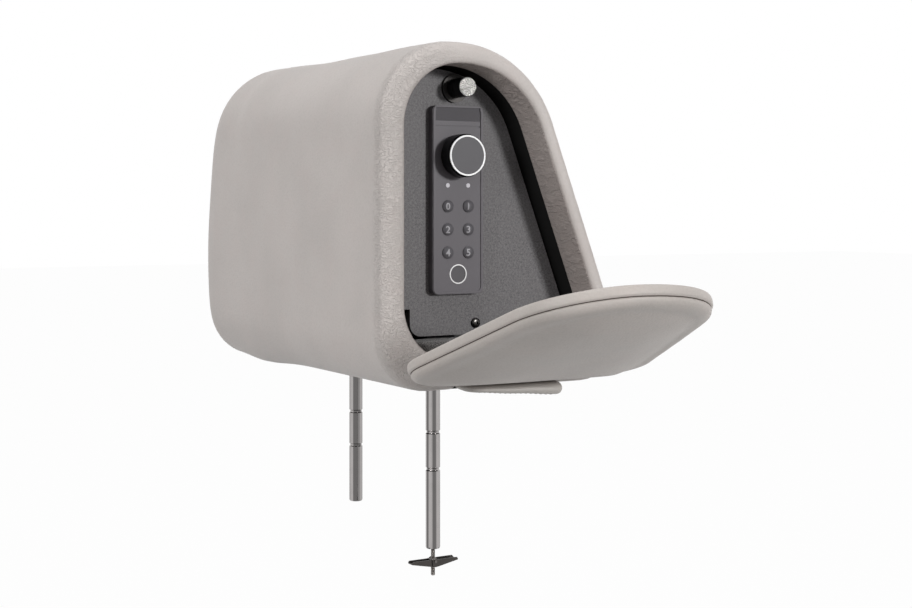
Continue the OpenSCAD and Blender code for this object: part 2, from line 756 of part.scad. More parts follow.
module bolt_pinion() {
    root = pinion_r - ded;
    tip = pinion_r + add;
    rb = pinion_r * cos(20);
    q = [root, rb, rb + (tip - rb) * 0.25, rb + (tip - rb) * 0.5, rb + (tip - rb) * 0.75, tip];
    color([0.45, 0.45, 0.45])
    up()
    difference() {
        along_x(pinion_x0 + 0.2, pinion_x0 + pinion_t - 0.2) translate([lock_y, knob_z]) polygon([
            for (k = [0 : pinion_teeth - 1])
                let (m = 180 + k * 360 / pinion_teeth)
                each concat(
                    [for (r = q) r * [cos(m - half_tooth(r)), sin(m - half_tooth(r))]],
                    [for (i = [len(q) - 1 : -1 : 0]) q[i] * [cos(m + half_tooth(q[i])), sin(m + half_tooth(q[i]))]]
                )
        ]);
        rod_x(pinion_x0 - 1, pinion_x0 + pinion_t + 1, lock_y, knob_z, spindle_r + 0.01);
    }
}

module lock_bolt() {
    h = PI / 4 - slack / 2;
    k = tan(20);
    color([0.5, 0.5, 0.5])
    up()
    along_x(pinion_x0, pinion_x0 + pinion_t) {
        translate([rack_y - ded - bolt_w, bolt_foot]) square([bolt_w, bolt_top - bolt_foot]);
        for (j = [-5 : 1]) translate([rack_y, knob_z + (j + 0.5) * PI])
            polygon([[-ded - 0.5, -h - k * ded], [-ded, -h - k * ded], [add, -h + k * add], [add, h - k * add], [-ded, h + k * ded], [-ded - 0.5, h + k * ded]]);
    }
}

// ---- keys ----
module key(i) {
    r = key_d / 2;
    color([0.3, 0.3, 0.32])
    up()
    translate([0, key_yz(i)[0], key_yz(i)[1]])
    intersection() {
        rod_x(door_x + 1.2 + key_travel + 0.3, panel_x + key_stand, 0, 0, r);
        translate([panel_x + key_stand - key_dome_r, 0, 0]) sphere(r = key_dome_r, $fn = 96);
    }
}
module key_0() key(0);
module key_1() key(1);
module key_2() key(2);
module key_3() key(3);
module key_4() key(4);
module key_5() key(5);

// ---- flap, drawn closed and then opened about its leather hinge ----
flap_x0 = flap_hinge_x + 0.7;
board_t = 3;
face_t = 1;
module opened() translate([flap_hinge_x, 0, flap_hinge_z]) rotate([0, flap_open, 0]) translate([-flap_hinge_x, 0, -flap_hinge_z]) children();

module flap_lining() {
    color([0.55, 0.53, 0.51])
    up()
    opened()
    difference() {
        along_x(flap_x0, flap_x0 + face_t) dee2d(grown(FLAP, -4.1));
        rod_x(flap_x0 - 1, flap_x0 + 3, catch_y, catch_z, 8 + fit);
    }
}

module strike_disc() color([0.7, 0.7, 0.7]) up() opened() rod_x(flap_x0 - 0.2, flap_x0 + face_t, catch_y, catch_z, 8);

module flap_board() color([0.4, 0.35, 0.3]) up() opened() along_x(flap_x0 + face_t, flap_x0 + face_t + board_t) dee2d(grown(FLAP, -4.2));

// Crown of the outer face, as [share of the crown, inset].
CROWN = [[0.16, 2.2], [0.36, 6], [0.56, 13], [0.76, 24], [0.91, 38], [0.98, 52]];

module flap_cushion() {
    x1 = flap_x0 + face_t + board_t + eps;
    xe = flap_x0 + flap_edge;
    outer = concat(
        [ring(flap_x0 + 0.4, FLAP, -2.6), ring(flap_x0, FLAP, -1.6), ring(flap_x0 + 0.5, FLAP, -0.3), ring(flap_x0 + flap_edge * 0.3, FLAP, 0),
            ring(xe - 0.8, FLAP, 0), ring(xe, FLAP, -0.6), ring(xe + 0.2, FLAP, -1)],
        [for (c = CROWN) ring(xe + flap_crown * c[0], FLAP, -c[1], 0)]
    );
    inner = [ring(x1, FLAP, -3.3), ring(flap_x0 + 1, FLAP, -3.3)];
    last = outer[len(outer) - 1];
    color([0.62, 0.6, 0.58])
    up()
    opened()
    cup(concat(inner, outer), mean(inner[0]), [xe + flap_crown, mean(last)[1], mean(last)[2]]);
}

// ---- parts ----
steel_tube();
back_plate();
door_frame();
base_plate();
base_pad();
foam_core();
leather_cover();
rim_lining();
floor_mat();
felt_liner();
hinge_strap();
locking_post();
plain_post();
locking_flange();
plain_flange();
hinge_bracket();
door_hinge_pin();
safe_door();
door_leaf();
fascia_bolt();
lock_body();
display_window();
status_lights();
fingerprint_ring();
fingerprint_pad();
knob_bush();
lock_case();
battery_pack();
bolt_guide();
catch_flange();
catch_sleeve();
catch_plunger();
catch_magnet();
lock_knob();
knob_ring();
knob_badge();
knob_spindle();
bolt_pinion();
lock_bolt();
key_0();
key_1();
key_2();
key_3();
key_4();
key_5();
flap_board();
flap_lining();
flap_cushion();
strike_disc();
toggle_rod();
toggle_nut();
wing_wide();
wing_narrow();
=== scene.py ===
"""Looks of a car headrest whose padded leather body hides a small keypad safe.

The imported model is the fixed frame. Rigid pieces keep their solids and get a finish. Soft pieces
(leather, felt, strap, flap) and the threaded rod are built here as meshes and stand for their solids.
All sizes of a class are in millimetres, measured from the underside of the leather, as in the part's
own drawing; to_scene() lifts them by the base plate and pad and turns them into metres.
"""

import json
import logging
import math
from dataclasses import dataclass, field, replace
from enum import Enum

import bmesh
import bpy
import numpy as np
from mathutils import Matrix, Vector

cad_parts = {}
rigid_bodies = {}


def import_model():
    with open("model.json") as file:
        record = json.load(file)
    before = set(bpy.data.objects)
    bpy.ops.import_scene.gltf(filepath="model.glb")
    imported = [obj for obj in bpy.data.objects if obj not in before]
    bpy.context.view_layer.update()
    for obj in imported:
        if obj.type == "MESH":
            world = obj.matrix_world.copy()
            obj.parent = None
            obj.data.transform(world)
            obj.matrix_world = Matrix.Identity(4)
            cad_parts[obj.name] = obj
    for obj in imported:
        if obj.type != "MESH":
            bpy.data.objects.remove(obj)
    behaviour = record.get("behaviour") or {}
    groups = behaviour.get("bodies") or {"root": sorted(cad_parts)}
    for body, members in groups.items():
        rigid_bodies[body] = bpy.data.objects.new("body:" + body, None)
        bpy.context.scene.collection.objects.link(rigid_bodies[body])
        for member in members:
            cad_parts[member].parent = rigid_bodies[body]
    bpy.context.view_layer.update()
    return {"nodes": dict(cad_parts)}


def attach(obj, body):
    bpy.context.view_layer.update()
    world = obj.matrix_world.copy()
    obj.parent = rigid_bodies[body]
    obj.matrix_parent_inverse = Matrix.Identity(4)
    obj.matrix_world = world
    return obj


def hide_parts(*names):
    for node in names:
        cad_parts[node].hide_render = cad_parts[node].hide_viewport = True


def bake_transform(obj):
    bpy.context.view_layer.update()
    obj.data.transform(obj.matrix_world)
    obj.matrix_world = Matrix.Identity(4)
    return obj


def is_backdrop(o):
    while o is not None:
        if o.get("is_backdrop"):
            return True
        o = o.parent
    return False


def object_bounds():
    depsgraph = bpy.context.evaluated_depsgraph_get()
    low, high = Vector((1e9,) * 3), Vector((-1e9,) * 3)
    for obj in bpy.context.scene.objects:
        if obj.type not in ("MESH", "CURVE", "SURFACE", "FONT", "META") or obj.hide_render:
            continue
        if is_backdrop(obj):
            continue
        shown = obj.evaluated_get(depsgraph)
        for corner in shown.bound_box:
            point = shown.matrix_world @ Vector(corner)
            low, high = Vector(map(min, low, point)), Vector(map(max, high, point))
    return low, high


LOG = logging.getLogger("headrest_safe")
MM = 0.001
LIFT = 6.0
Point = tuple[float, float, float]
Color = tuple[float, float, float]
Ring = np.ndarray
Faces = list[tuple[int, ...]]
SAME_PLACE = 1e-7
SMALLEST_CORNER = 6.0


# Shader maths.
class Socket:
    """One value, colour or vector on its way through a material, with the arithmetic used on it."""

    def __init__(self, tree: "Tree", link: bpy.types.NodeSocket) -> None:
        """Keeps the output socket and the tree that it belongs to."""
        self.tree = tree
        self.link = link

    def math(self, operation: str, *others: "Socket | float", first: bool = True) -> "Socket":
        """Adds a Math node.

        Args:
            operation: Name of the node's operation.
            others: The other operands.
            first: Whether this socket is the first operand.

        Returns:
            The node's value.
        """
        values = [self, *others] if first else [*others, self]
        return self.tree.node("ShaderNodeMath", {"operation": operation}, dict(enumerate(values)))

    def __add__(self, other: "Socket | float") -> "Socket":
        """Sum."""
        return self.math("ADD", other)

    __radd__ = __add__

    def __mul__(self, other: "Socket | float") -> "Socket":
        """Product."""
        return self.math("MULTIPLY", other)

    __rmul__ = __mul__

    def __sub__(self, other: "Socket | float") -> "Socket":
        """Difference."""
        return self.math("SUBTRACT", other)

    def __rsub__(self, other: "Socket | float") -> "Socket":
        """Difference with this socket taken away."""
        return self.math("SUBTRACT", other, first=False)

    def step(self, low: float, high: float) -> "Socket":
        """Smooth step from 0 at low to 1 at high."""
        inputs = {"Value": self, "From Min": low, "From Max": high}
        return self.tree.node("ShaderNodeMapRange", {"interpolation_type": "SMOOTHSTEP"}, inputs)


class Tree:
    """A tree of shader nodes, with the one method that adds a node to it."""

    def __init__(self, owner: bpy.types.Material | bpy.types.World) -> None:
        """Takes the tree of a material or of the surroundings, and empties it.

        Args:
            owner: What the tree belongs to.
        """
        owner.use_nodes = True
        self.nodes = owner.node_tree.nodes
        self.links = owner.node_tree.links
        self.nodes.clear()

    def add(
        self, kind: str, settings: dict[str, object], inputs: dict[str | int, object]
    ) -> bpy.types.Node:
        """Adds one node.

        Args:
            kind: Blender's type of the node.
            settings: The node's own properties, set first; "stops" gives a ramp's positions and colours.
            inputs: Values or links by socket name or number.

        Returns:
            The node.
        """
        made = self.nodes.new(kind)
        for key, value in settings.items():
            if key == "stops":
                elements = made.color_ramp.elements
                while len(elements) < len(value):
                    elements.new(0.5)
                for element, (place, color) in zip(elements, value):
                    element.position = place
                    element.color = (*color, 1.0)
            else:
                setattr(made, key, value)
        for key, value in inputs.items():
            self.feed(made.inputs[key], value)
        return made

    def node(
        self, kind: str, settings: dict[str, object], inputs: dict[str | int, object], out: str | int = 0
    ) -> Socket:
        """Adds one node and hands back the output of that name or number."""
        return Socket(self, self.add(kind, settings, inputs).outputs[out])

    def feed(self, target: bpy.types.NodeSocket, value: object) -> None:
        """Links a socket or sets a plain value on an input.

        Args:
            target: The input.
            value: A socket, a number, a colour or a vector.
        """
        if isinstance(value, Socket):
            self.links.new(value.link, target)
        elif isinstance(value, (tuple, list)) and len(value) == 3 and target.type == "RGBA":
            target.default_value = (*value, 1.0)
        else:
            target.default_value = value

    def seen(self) -> Socket:
        """Mask of the rays that show the white background, directly, mirrored or through a clear piece.

        Returns:
            A value that is 1 for such a ray.
        """
        kinds = ("Is Camera Ray", "Is Glossy Ray", "Is Transmission Ray")
        direct, mirrored, through = (self.node("ShaderNodeLightPath", {}, {}, kind) for kind in kinds)
        return direct.math("MAXIMUM", mirrored).math("MAXIMUM", through)


class Graph(Tree):
    """Node tree of one material, with its Principled shader and its output."""

    def __init__(self, name: str) -> None:
        """Makes a material of that name.

        Args:
            name: The name.
        """
        self.material = bpy.data.materials.new(name)
        super().__init__(self.material)
        self.shader = self.add("ShaderNodeBsdfPrincipled", {}, {})
        self.surface = Socket(self, self.shader.outputs[0])
        self.output = self.add("ShaderNodeOutputMaterial", {}, {"Surface": self.surface})

    def set(self, **inputs: object) -> None:
        """Sets or links inputs of the Principled shader; an underscore stands for a space."""
        for key, value in inputs.items():
            self.feed(self.shader.inputs[key.replace("_", " ")], value)

    def place(self) -> Socket:
        """Object coordinates, in metres in the shared frame."""
        return self.node("ShaderNodeTexCoord", {}, {}, "Object")

    def stretched(self, scale: Point) -> Socket:
        """Object coordinates scaled along each axis."""
        return self.node("ShaderNodeVectorMath", {"operation": "MULTIPLY"}, {0: self.place(), 1: scale})

    def noise(self, size: float, detail: float, rough: float, at: Socket | None = None) -> Socket:
        """Noise whose features are about size millimetres across."""
        inputs = {"Scale": 1 / (size * MM), "Detail": detail, "Roughness": rough}
        return self.node("ShaderNodeTexNoise", {}, {"Vector": at or self.place(), **inputs})

    def cells(self, size: float, feature: str, out: str = "Distance", at: Socket | None = None) -> Socket:
        """Cell pattern whose cells are about size millimetres across."""
        inputs = {"Vector": at or self.place(), "Scale": 1 / (size * MM)}
        return self.node("ShaderNodeTexVoronoi", {"feature": feature}, inputs, out)

    def mix(self, factor: Socket | float, a: Socket | Color, b: Socket | Color) -> Socket:
        """Mixes two colours."""
        return self.node("ShaderNodeMix", {"data_type": "RGBA"}, {0: factor, 6: a, 7: b}, 2)

    def bump(self, height: Socket, depth: float, after: Socket | None = None) -> Socket:
        """Bump, on top of an earlier one if given.

        Args:
            height: Height from 0 to 1.
            depth: What a height of 1 means, in millimetres.
            after: The earlier bump.

        Returns:
            The bent normal.
        """
        inputs = {"Height": height, "Distance": depth * MM, "Strength": 1.0}
        if after is not None:
            inputs["Normal"] = after
        return self.node("ShaderNodeBump", {}, inputs)


# Finishes.
@dataclass(frozen=True)
class Finish:
    """A surface finish; build() draws its nodes and made() hands out one shared material."""

    name: str
    color: Color

    def shade(self, share: float) -> Color:
        """The finish's colour, darker or lighter by that share, at most white."""
        return tuple(min(1.0, c * share) for c in self.color)

    def build(self, g: Graph) -> None:
        """Draws the nodes."""
        g.set(Base_Color=self.color)

    def made(self) -> bpy.types.Material:
        """Material of this finish, built at its first use.

        Returns:
            The material.
        """
        found = bpy.data.materials.get(self.name)
        if found is not None:
            return found
        g = Graph(self.name)
        self.build(g)
        return g.material


@dataclass(frozen=True)
class Leather(Finish):
    """Soft coated leather: fine pebble grain, faint creases and slow changes of tone."""

    grain: float = 1.15
    grain_depth: float = 0.1
    crease: float = 0.1
    rough: float = 0.5
    wrinkle: float = 0.0
    rim: float = 0.0
    rim_x: tuple[float, float] = (0.139, 0.148)
    rim_near: tuple[float, float] = (0.02, 0.06)
    wander: Point = (0.0016, 0.0016, 0.0016)

    def build(self, g: Graph) -> None:
        """Draws grain cells, pores, creases and tone, folds with painted shade along them, and the small
        wrinkles of the rolled rim.

        Args:
            g: Nodes of the material.
        """
        inputs = {"Vector": g.place(), "Scale": 260.0, "Detail": 2.0}
        drift = g.node("ShaderNodeTexNoise", {}, inputs, "Color")
        inputs = {0: drift, 1: self.wander, 2: g.place()}
        warp = g.node("ShaderNodeVectorMath", {"operation": "MULTIPLY_ADD"}, inputs)
        pebble = g.cells(self.grain, "SMOOTH_F1", at=warp)
        fine = g.noise(self.grain * 0.45, 4.0, 0.6)
        crease = g.noise(7.0, 5.0, 0.62, at=g.stretched((1.0, 1.6, 0.7)))
        slow = g.noise(60.0, 2.0, 0.5)
        hollow = pebble.step(0.25, 0.75)
        tone = g.mix(slow.step(0.3, 0.7), self.shade(0.955), self.shade(1.035))
        tone = g.mix(hollow * 0.16, tone, self.shade(0.72))
        warm = g.noise(18.0, 3.0, 0.6).step(0.42, 0.7)
        tone = g.mix(warm * 0.22, tone, (self.shade(1.03)[0], *self.shade(0.965)[1:]))
        normal = g.bump(crease, self.crease)
        if self.wrinkle:
            folds = g.noise(4.5, 4.0, 0.6, at=g.stretched((0.45, 1.0, 1.0)))
            folded = (folds - 0.5).math("ABSOLUTE").step(0.0, 0.16)
            normal = g.bump(folded, self.wrinkle, after=normal)
            # Painted shade: the tone is darkened along the fold lines.
            tone = g.mix((1.0 - folded) * 0.25, tone, self.shade(0.7))
        if self.rim:
            x = g.node("ShaderNodeSeparateXYZ", {}, {"Vector": g.place()}, "X")
            y = g.node("ShaderNodeSeparateXYZ", {}, {"Vector": g.place()}, "Y")
            close = g.noise(2.6, 3.0, 0.55, at=g.stretched((1.0, 0.7, 1.3)))
            small_folds = (close - 0.5).math("ABSOLUTE").step(0.0, 0.1)
            near_rim = x.step(*self.rim_x) * (0.0 - y).step(*self.rim_near)
            normal = g.bump(small_folds * near_rim, self.rim, after=normal)
        normal = g.bump((1.0 - pebble) + fine * 0.35, self.grain_depth, after=normal)
        g.set(
            Base_Color=tone,
            Roughness=self.rough + 0.09 * fine + 0.06 * hollow - 0.045,
            Normal=normal,
            Specular_IOR_Level=0.32,
            Sheen_Weight=0.06,
            Sheen_Roughness=0.45,
        )


@dataclass(frozen=True)
class Coat(Finish):
    """Powder-coated or painted steel: fine speckle over a soft orange peel."""

    speckle: float = 0.35
    grit: float = 0.42
    rough: float = 0.55
    shine: float = 0.3

    def build(self, g: Graph) -> None:
        """Draws the speckle, its bump and slow patches.

        Args:
            g: Nodes of the material.
        """
        fine = g.noise(self.grit, 3.0, 0.7)
        coarse = g.noise(self.grit * 3.2, 3.0, 0.6)
        slow = g.noise(45.0, 2.0, 0.5)
        dark, light = self.shade(1 - self.speckle), self.shade(1 + self.speckle)
        tone = g.mix((fine * 0.6 + coarse * 0.4).step(0.36, 0.64), dark, light)
        tone = g.mix(slow.step(0.35, 0.7) * 0.35, tone, self.shade(1.1))
        g.set(
            Base_Color=tone,
            Roughness=self.rough + 0.16 * (fine - 0.5),
            Normal=g.bump(fine * 0.5 + coarse * 0.5, 0.05),
            Specular_IOR_Level=self.shine,
        )


@dataclass(frozen=True)
class Plastic(Finish):
    """Moulded plastic with a faint spark-eroded texture."""

    rough: float = 0.4
    texture: float = 0.02
    shine: float = 0.35

    def build(self, g: Graph) -> None:
        """Draws the moulding texture and light handling marks.

        Args:
            g: Nodes of the material.
        """
        fine = g.noise(0.35, 2.0, 0.6)
        marks = g.noise(14.0, 4.0, 0.6)
        handled = tuple(c + 0.001 for c in self.shade(1.12))
        tone = g.mix(marks.step(0.35, 0.75) * 0.5, self.color, handled)
        g.set(
            Base_Color=tone,
            Roughness=self.rough + 0.12 * (marks - 0.5) + 0.05 * (fine - 0.5),
            Normal=g.bump(fine, self.texture),
            Specular_IOR_Level=self.shine,
        )


class Lay(Enum):
    """Direction in which a metal surface was turned, drawn or brushed."""

    ALONG_X = (0.04, 1.0, 1.0)
    ALONG_Y = (1.0, 0.04, 1.0)
    ALONG_Z = (1.0, 1.0, 0.04)
    NONE = (1.0, 1.0, 1.0)


@dataclass(frozen=True)
class Metal(Finish):
    """Bare or plated metal with the fine lines of its making and dull patches from handling."""

    rough: float = 0.25
    lay: Lay = Lay.NONE
    line: float = 0.25
    depth: float = 0.008
    dull: float = 0.25
    # Size of the dark bands of painted reflection along Z, 0 for none.
    band: float = 0.0

    def build(self, g: Graph) -> None:
        """Draws the lines, the dull patches and their bump, and broad dark bands of painted reflection
        along the tube.

        Args:
            g: Nodes of the material.
        """
        lines = g.noise(self.line, 3.0, 0.65, at=g.stretched(self.lay.value))
        patches = g.noise(9.0, 4.0, 0.65)
        tone = g.mix(patches.step(0.4, 0.75) * self.dull, self.color, self.shade(0.62))
        tone = g.mix(lines.step(0.35, 0.65) * 0.25, tone, self.shade(0.8))
        if self.band:
            # Painted reflection: dark bands along Z stand for dark reflections in a round tube.
            painted_reflection_bands = g.noise(self.band, 1.0, 0.5, at=g.stretched((1.0, 1.0, 0.002)))
            tone = g.mix(painted_reflection_bands.step(0.46, 0.6) * 0.85, tone, self.shade(0.22))
        g.set(
            Base_Color=tone,
            Metallic=1.0,
            Roughness=self.rough + 0.12 * (patches - 0.5) + 0.1 * (lines - 0.5),
            Normal=g.bump(lines, self.depth),
        )


@dataclass(frozen=True)
class Knurl(Finish):
    """Bright cross-cut face of the catch magnet."""

    pitch: float = 0.6

    def build(self, g: Graph) -> None:
        """Draws crossed grooves as cells, with painted shade in the gaps between them.

        Args:
            g: Nodes of the material.
        """
        edge = g.cells(self.pitch, "DISTANCE_TO_EDGE")
        fleck = g.cells(self.pitch, "F1", "Color")
        tip = edge.step(0.03, 0.2)
        level = g.node("ShaderNodeSeparateColor", {}, {"Color": fleck}, 0)
        # Painted shade: the gaps between the cells are darkened.
        tone = g.mix(tip, self.shade(0.1), self.color)
        tone = g.mix(level * 0.55, tone, self.shade(0.25))
        g.set(Base_Color=tone, Metallic=0.8, Roughness=0.3 + 0.3 * level, Normal=g.bump(tip, 0.2))


@dataclass(frozen=True)
class Felt(Finish):
    """Short dark felt with pale flecks."""

    fleck: float = 0.9
    fleck_color: Color = (0.34, 0.32, 0.31)

    def build(self, g: Graph) -> None:
        """Draws fibres, flecks and nap.

        Args:
            g: Nodes of the material.
        """
        fibre = g.noise(0.5, 5.0, 0.75)
        nap = g.noise(2.2, 4.0, 0.7)
        tone = g.mix(fibre.step(0.4, 0.58), self.shade(0.14), self.color)
        tone = g.mix(fibre.step(0.53, 0.64) * self.fleck, tone, self.fleck_color)
        g.set(
            Base_Color=tone,
            Roughness=0.95 - 0.05 * nap,
            Normal=g.bump(fibre * 0.6 + nap * 0.4, 0.5),
            Specular_IOR_Level=0.1,
            Sheen_Weight=0.15,
        )


@dataclass(frozen=True)
class Wood(Finish):
    """Birch ply of the flap's board, seen at its edge only."""

    def build(self, g: Graph) -> None:
        """Draws the growth lines.

        Args:
            g: Nodes of the material.
        """
        lines = g.noise(2.0, 4.0, 0.6, at=g.stretched((1.0, 1.0, 0.06)))
        tone = g.mix(lines.step(0.3, 0.7), self.shade(0.75), self.color)
        g.set(Base_Color=tone, Roughness=0.7 - 0.1 * lines, Normal=g.bump(lines, 0.05))


@dataclass(frozen=True)
class Thread(Finish):
    """Twisted sewing thread."""

    def build(self, g: Graph) -> None:
        """Draws the twist.

        Args:
            g: Nodes of the material.
        """
        twist = g.noise(0.35, 2.0, 0.6)
        tone = g.mix(twist, self.shade(0.7), self.color)
        g.set(
            Base_Color=tone,
            Roughness=0.75 - 0.1 * twist,
            Normal=g.bump(twist, 0.05),
            Specular_IOR_Level=0.2,
        )


LEATHER = Leather("leather_soft_grey", (0.500, 0.462, 0.440), rim=0.3)
LEATHER_FLAP = Leather("leather_flap", (0.475, 0.436, 0.407), crease=0.06)
LEATHER_STRAP = Leather("leather_strap", (0.32, 0.294, 0.270), crease=0.14, grain_depth=0.12)
# The lining's colour is the body leather made darker, partly painted shade for the inside of the mouth.
LINING = Leather("leather_lining", (0.36, 0.318, 0.300), grain=1.0, crease=0.3, wrinkle=0.55, rough=0.55)
INNER = Leather("leather_inner_face", (0.42, 0.388, 0.362), crease=0.05)
FELT = Felt("felt_dark", (0.165, 0.157, 0.153))
BOARD = Wood("flap_ply", (0.42, 0.33, 0.24))
THREAD = Thread("thread_grey", (0.42, 0.39, 0.36))
DIGIT = Plastic("digit_pale", (0.40, 0.39, 0.41), rough=0.6, shine=0.2)
SEAM = Thread("seam_brown", (0.085, 0.068, 0.058))
ROD = Metal("rod_zinc", (0.2, 0.186, 0.175), rough=0.3, dull=0.5)
# The posts' finish carries dark bands of painted reflection.
POST = Metal("post_satin_chrome", (0.43, 0.41, 0.405), rough=0.11, lay=Lay.ALONG_Z, band=3.2)
FLANGE = Metal("flange_steel", (0.45, 0.44, 0.43), rough=0.35)
WING = Metal("wing_dark_zinc", (0.06, 0.055, 0.052), rough=0.34, dull=0.6)
CATCH = Plastic("catch_black", (0.005, 0.005, 0.005), rough=0.4, shine=0.1)
KEY_CAP = Plastic("key_cap", (0.098, 0.094, 0.102), rough=0.44, texture=0.003, shine=0.25)

CAD_FINISH: dict[str, Finish] = {
    "steel_tube": Coat("steel_black", (0.009, 0.0088, 0.0088), speckle=0.25, rough=0.6, shine=0.12),
    "back_plate": Coat("steel_back", (0.014, 0.014, 0.0145), speckle=0.25, rough=0.6, shine=0.15),
    "door_frame": Coat("steel_frame", (0.010, 0.010, 0.0105), speckle=0.25, rough=0.6, shine=0.12),
    "base_plate": Coat("steel_base", (0.030, 0.029, 0.029), speckle=0.3, rough=0.55),
    "hinge_bracket": Coat("steel_bracket", (0.014, 0.014, 0.0145), speckle=0.2, rough=0.5),
    "door_leaf": Coat("steel_leaf", (0.02, 0.02, 0.02), speckle=0.2, rough=0.5),
    "safe_door": Coat("door_charcoal", (0.142, 0.136, 0.139), speckle=0.42, rough=0.5, shine=0.2),
    "locking_post": POST,
    "plain_post": POST,
    "locking_flange": FLANGE,
    "plain_flange": FLANGE,
    "door_hinge_pin": Metal("pin_steel", (0.5, 0.49, 0.48), rough=0.28, lay=Lay.ALONG_Y),
    "fascia_bolt": Metal("bolt_black_oxide", (0.05, 0.047, 0.045), rough=0.26, dull=0.5),
    "lock_body": Plastic("lock_housing", (0.116, 0.108, 0.118), rough=0.42, texture=0.012, shine=0.2),
    "display_window": Plastic("lock_window", (0.094, 0.089, 0.096), rough=0.55, texture=0.004, shine=0.1),
    "status_lights": Plastic("light_diffuser", (0.56, 0.54, 0.58), rough=0.35),
    "fingerprint_ring": Metal("scanner_ring", (0.62, 0.61, 0.61), rough=0.16),
    "fingerprint_pad": Plastic("scanner_pad", (0.080, 0.076, 0.082), rough=0.36, texture=0.01, shine=0.2),
    "knob_bush": Plastic("bush_black", (0.006, 0.006, 0.006), rough=0.5, shine=0.08),
    "lock_case": Plastic("case_black", (0.02, 0.02, 0.021), rough=0.5),
    "battery_pack": Plastic("battery_wrap", (0.03, 0.03, 0.034), rough=0.35),
    "bolt_guide": Metal("guide_zinc", (0.42, 0.41, 0.4), rough=0.4),
    "catch_flange": Metal("catch_washer", (0.036, 0.034, 0.033), rough=0.45, dull=0.6),
    "catch_sleeve": CATCH,
    "catch_plunger": CATCH,
    "catch_magnet": Knurl("magnet_knurled", (0.78, 0.77, 0.74)),
    "lock_knob": Plastic("knob_black", (0.004, 0.004, 0.0045), rough=0.34, texture=0.004, shine=0.12),
    "knob_ring": Plastic("knob_white_ring", (0.88, 0.88, 0.88), rough=0.35),
    "knob_badge": Plastic("knob_face", (0.080, 0.077, 0.083), rough=0.42, texture=0.008, shine=0.2),
    "knob_spindle": Metal("spindle_steel", (0.5, 0.49, 0.48), rough=0.3, lay=Lay.ALONG_X),
    "bolt_pinion": Metal("pinion_steel", (0.42, 0.41, 0.4), rough=0.36),
    "lock_bolt": Metal("bolt_steel", (0.55, 0.54, 0.53), rough=0.26, lay=Lay.ALONG_Z),
    "strike_disc": Metal("strike_steel", (0.62, 0.61, 0.6), rough=0.22),
    "toggle_nut": Metal("nut_zinc", (0.12, 0.112, 0.107), rough=0.34, dull=0.6),
    "wing_wide": WING,
    "wing_narrow": WING,
    **{f"key_{number}": KEY_CAP for number in range(6)},
}


# Mesh tools.
def to_scene(points: np.ndarray) -> np.ndarray:
    """Points in millimetres above the leather's underside, as metres in the shared frame.

    Args:
        points: Rows of x, y, z.

    Returns:
        The same rows in metres.
    """
    return (np.asarray(points, float) + (0.0, 0.0, LIFT)) * MM


def piece(name: str, points: np.ndarray, faces: Faces, finish: Finish) -> bpy.types.Object:
    """Makes a mesh piece from points in millimetres.

    Args:
        name: Name of the piece.
        points: Rows of x, y, z in millimetres.
        faces: Corner numbers of each face.
        finish: Its finish.

    Returns:
        The new object, linked into the scene.
    """
    mesh = bpy.data.meshes.new(name)
    mesh.from_pydata(to_scene(points).tolist(), [], faces)
    mesh.validate()
    bm = bmesh.new()
    bm.from_mesh(mesh)
    bmesh.ops.remove_doubles(bm, verts=bm.verts, dist=SAME_PLACE)
    bmesh.ops.recalc_face_normals(bm, faces=bm.faces)
    middle = sum((v.co for v in bm.verts), Vector()) / len(bm.verts)
    if sum(f.normal.dot(f.calc_center_median() - middle) * f.calc_area() for f in bm.faces) < 0:
        bmesh.ops.reverse_faces(bm, faces=bm.faces)
    bm.to_mesh(mesh)
    bm.free()
    mesh.shade_smooth()
    mesh.materials.append(finish.made())
    obj = bpy.data.objects.new(name, mesh)
    bpy.context.scene.collection.objects.link(obj)
    return obj


def thicken(obj: bpy.types.Object, name: str, thickness: float, offset: float = 0.0) -> bpy.types.Object:
    """Gives a sheet its thickness.

    Args:
        obj: The sheet.
        name: Name of the modifier.
        thickness: Thickness in millimetres.
        offset: Where it lies, -1 for inward and 0 for half on each side.

    Returns:
        The same object.
    """
    made = obj.modifiers.new(name, "SOLIDIFY")
    made.thickness = thickness * MM
    made.offset = offset
    return obj


def loft(
    rings: list[Ring], first: bool = True, last: bool = True, closed: bool = True
) -> tuple[np.ndarray, Faces]:
    """Skins a list of equal rings.

    Args:
        rings: Rings of points, each as many as the first.
        first: Whether the first ring is filled to its middle.
        last: Whether the last ring is filled to its middle.
        closed: Whether each ring is a loop.

    Returns:
        The points and the faces.
    """
    n = len(rings[0])
    points = [np.asarray(r, float) for r in rings]
    faces: Faces = []
    for j in range(len(rings) - 1):
        for i in range(n if closed else n - 1):
            a, b = j * n + i, j * n + (i + 1) % n
            faces.append((a, b, b + n, a + n))
    count = n * len(rings)
    for wanted, j in ((first, 0), (last, len(rings) - 1)):
        if wanted and closed:
            points.append(points[j].mean(axis=0)[None, :])
            faces += [(j * n + i, j * n + (i + 1) % n, count) for i in range(n)]
            count += 1
    return np.vstack(points), faces


def spline(knots: list[tuple[float, float]], steps: int) -> np.ndarray:
    """Smooth curve through knots, with steps points between two of them.

    Args:
        knots: Points of the plane.
        steps: Points for each stretch.

    Returns:
        Rows of the curve's points.
    """
    p = np.array([knots[0], *knots, knots[-1]], float)
    out = []
    for i in range(1, len(p) - 2):
        for s in np.linspace(0, 1, steps, endpoint=False):
            a, b, c, d = p[i - 1], p[i], p[i + 1], p[i + 2]
            bent = (2 * a - 5 * b + 4 * c - d) * s * s + (3 * b - 3 * c + d - a) * s**3
            out.append(0.5 * (2 * b + (c - a) * s + bent))
    out.append(p[-2])
    return np.array(out)


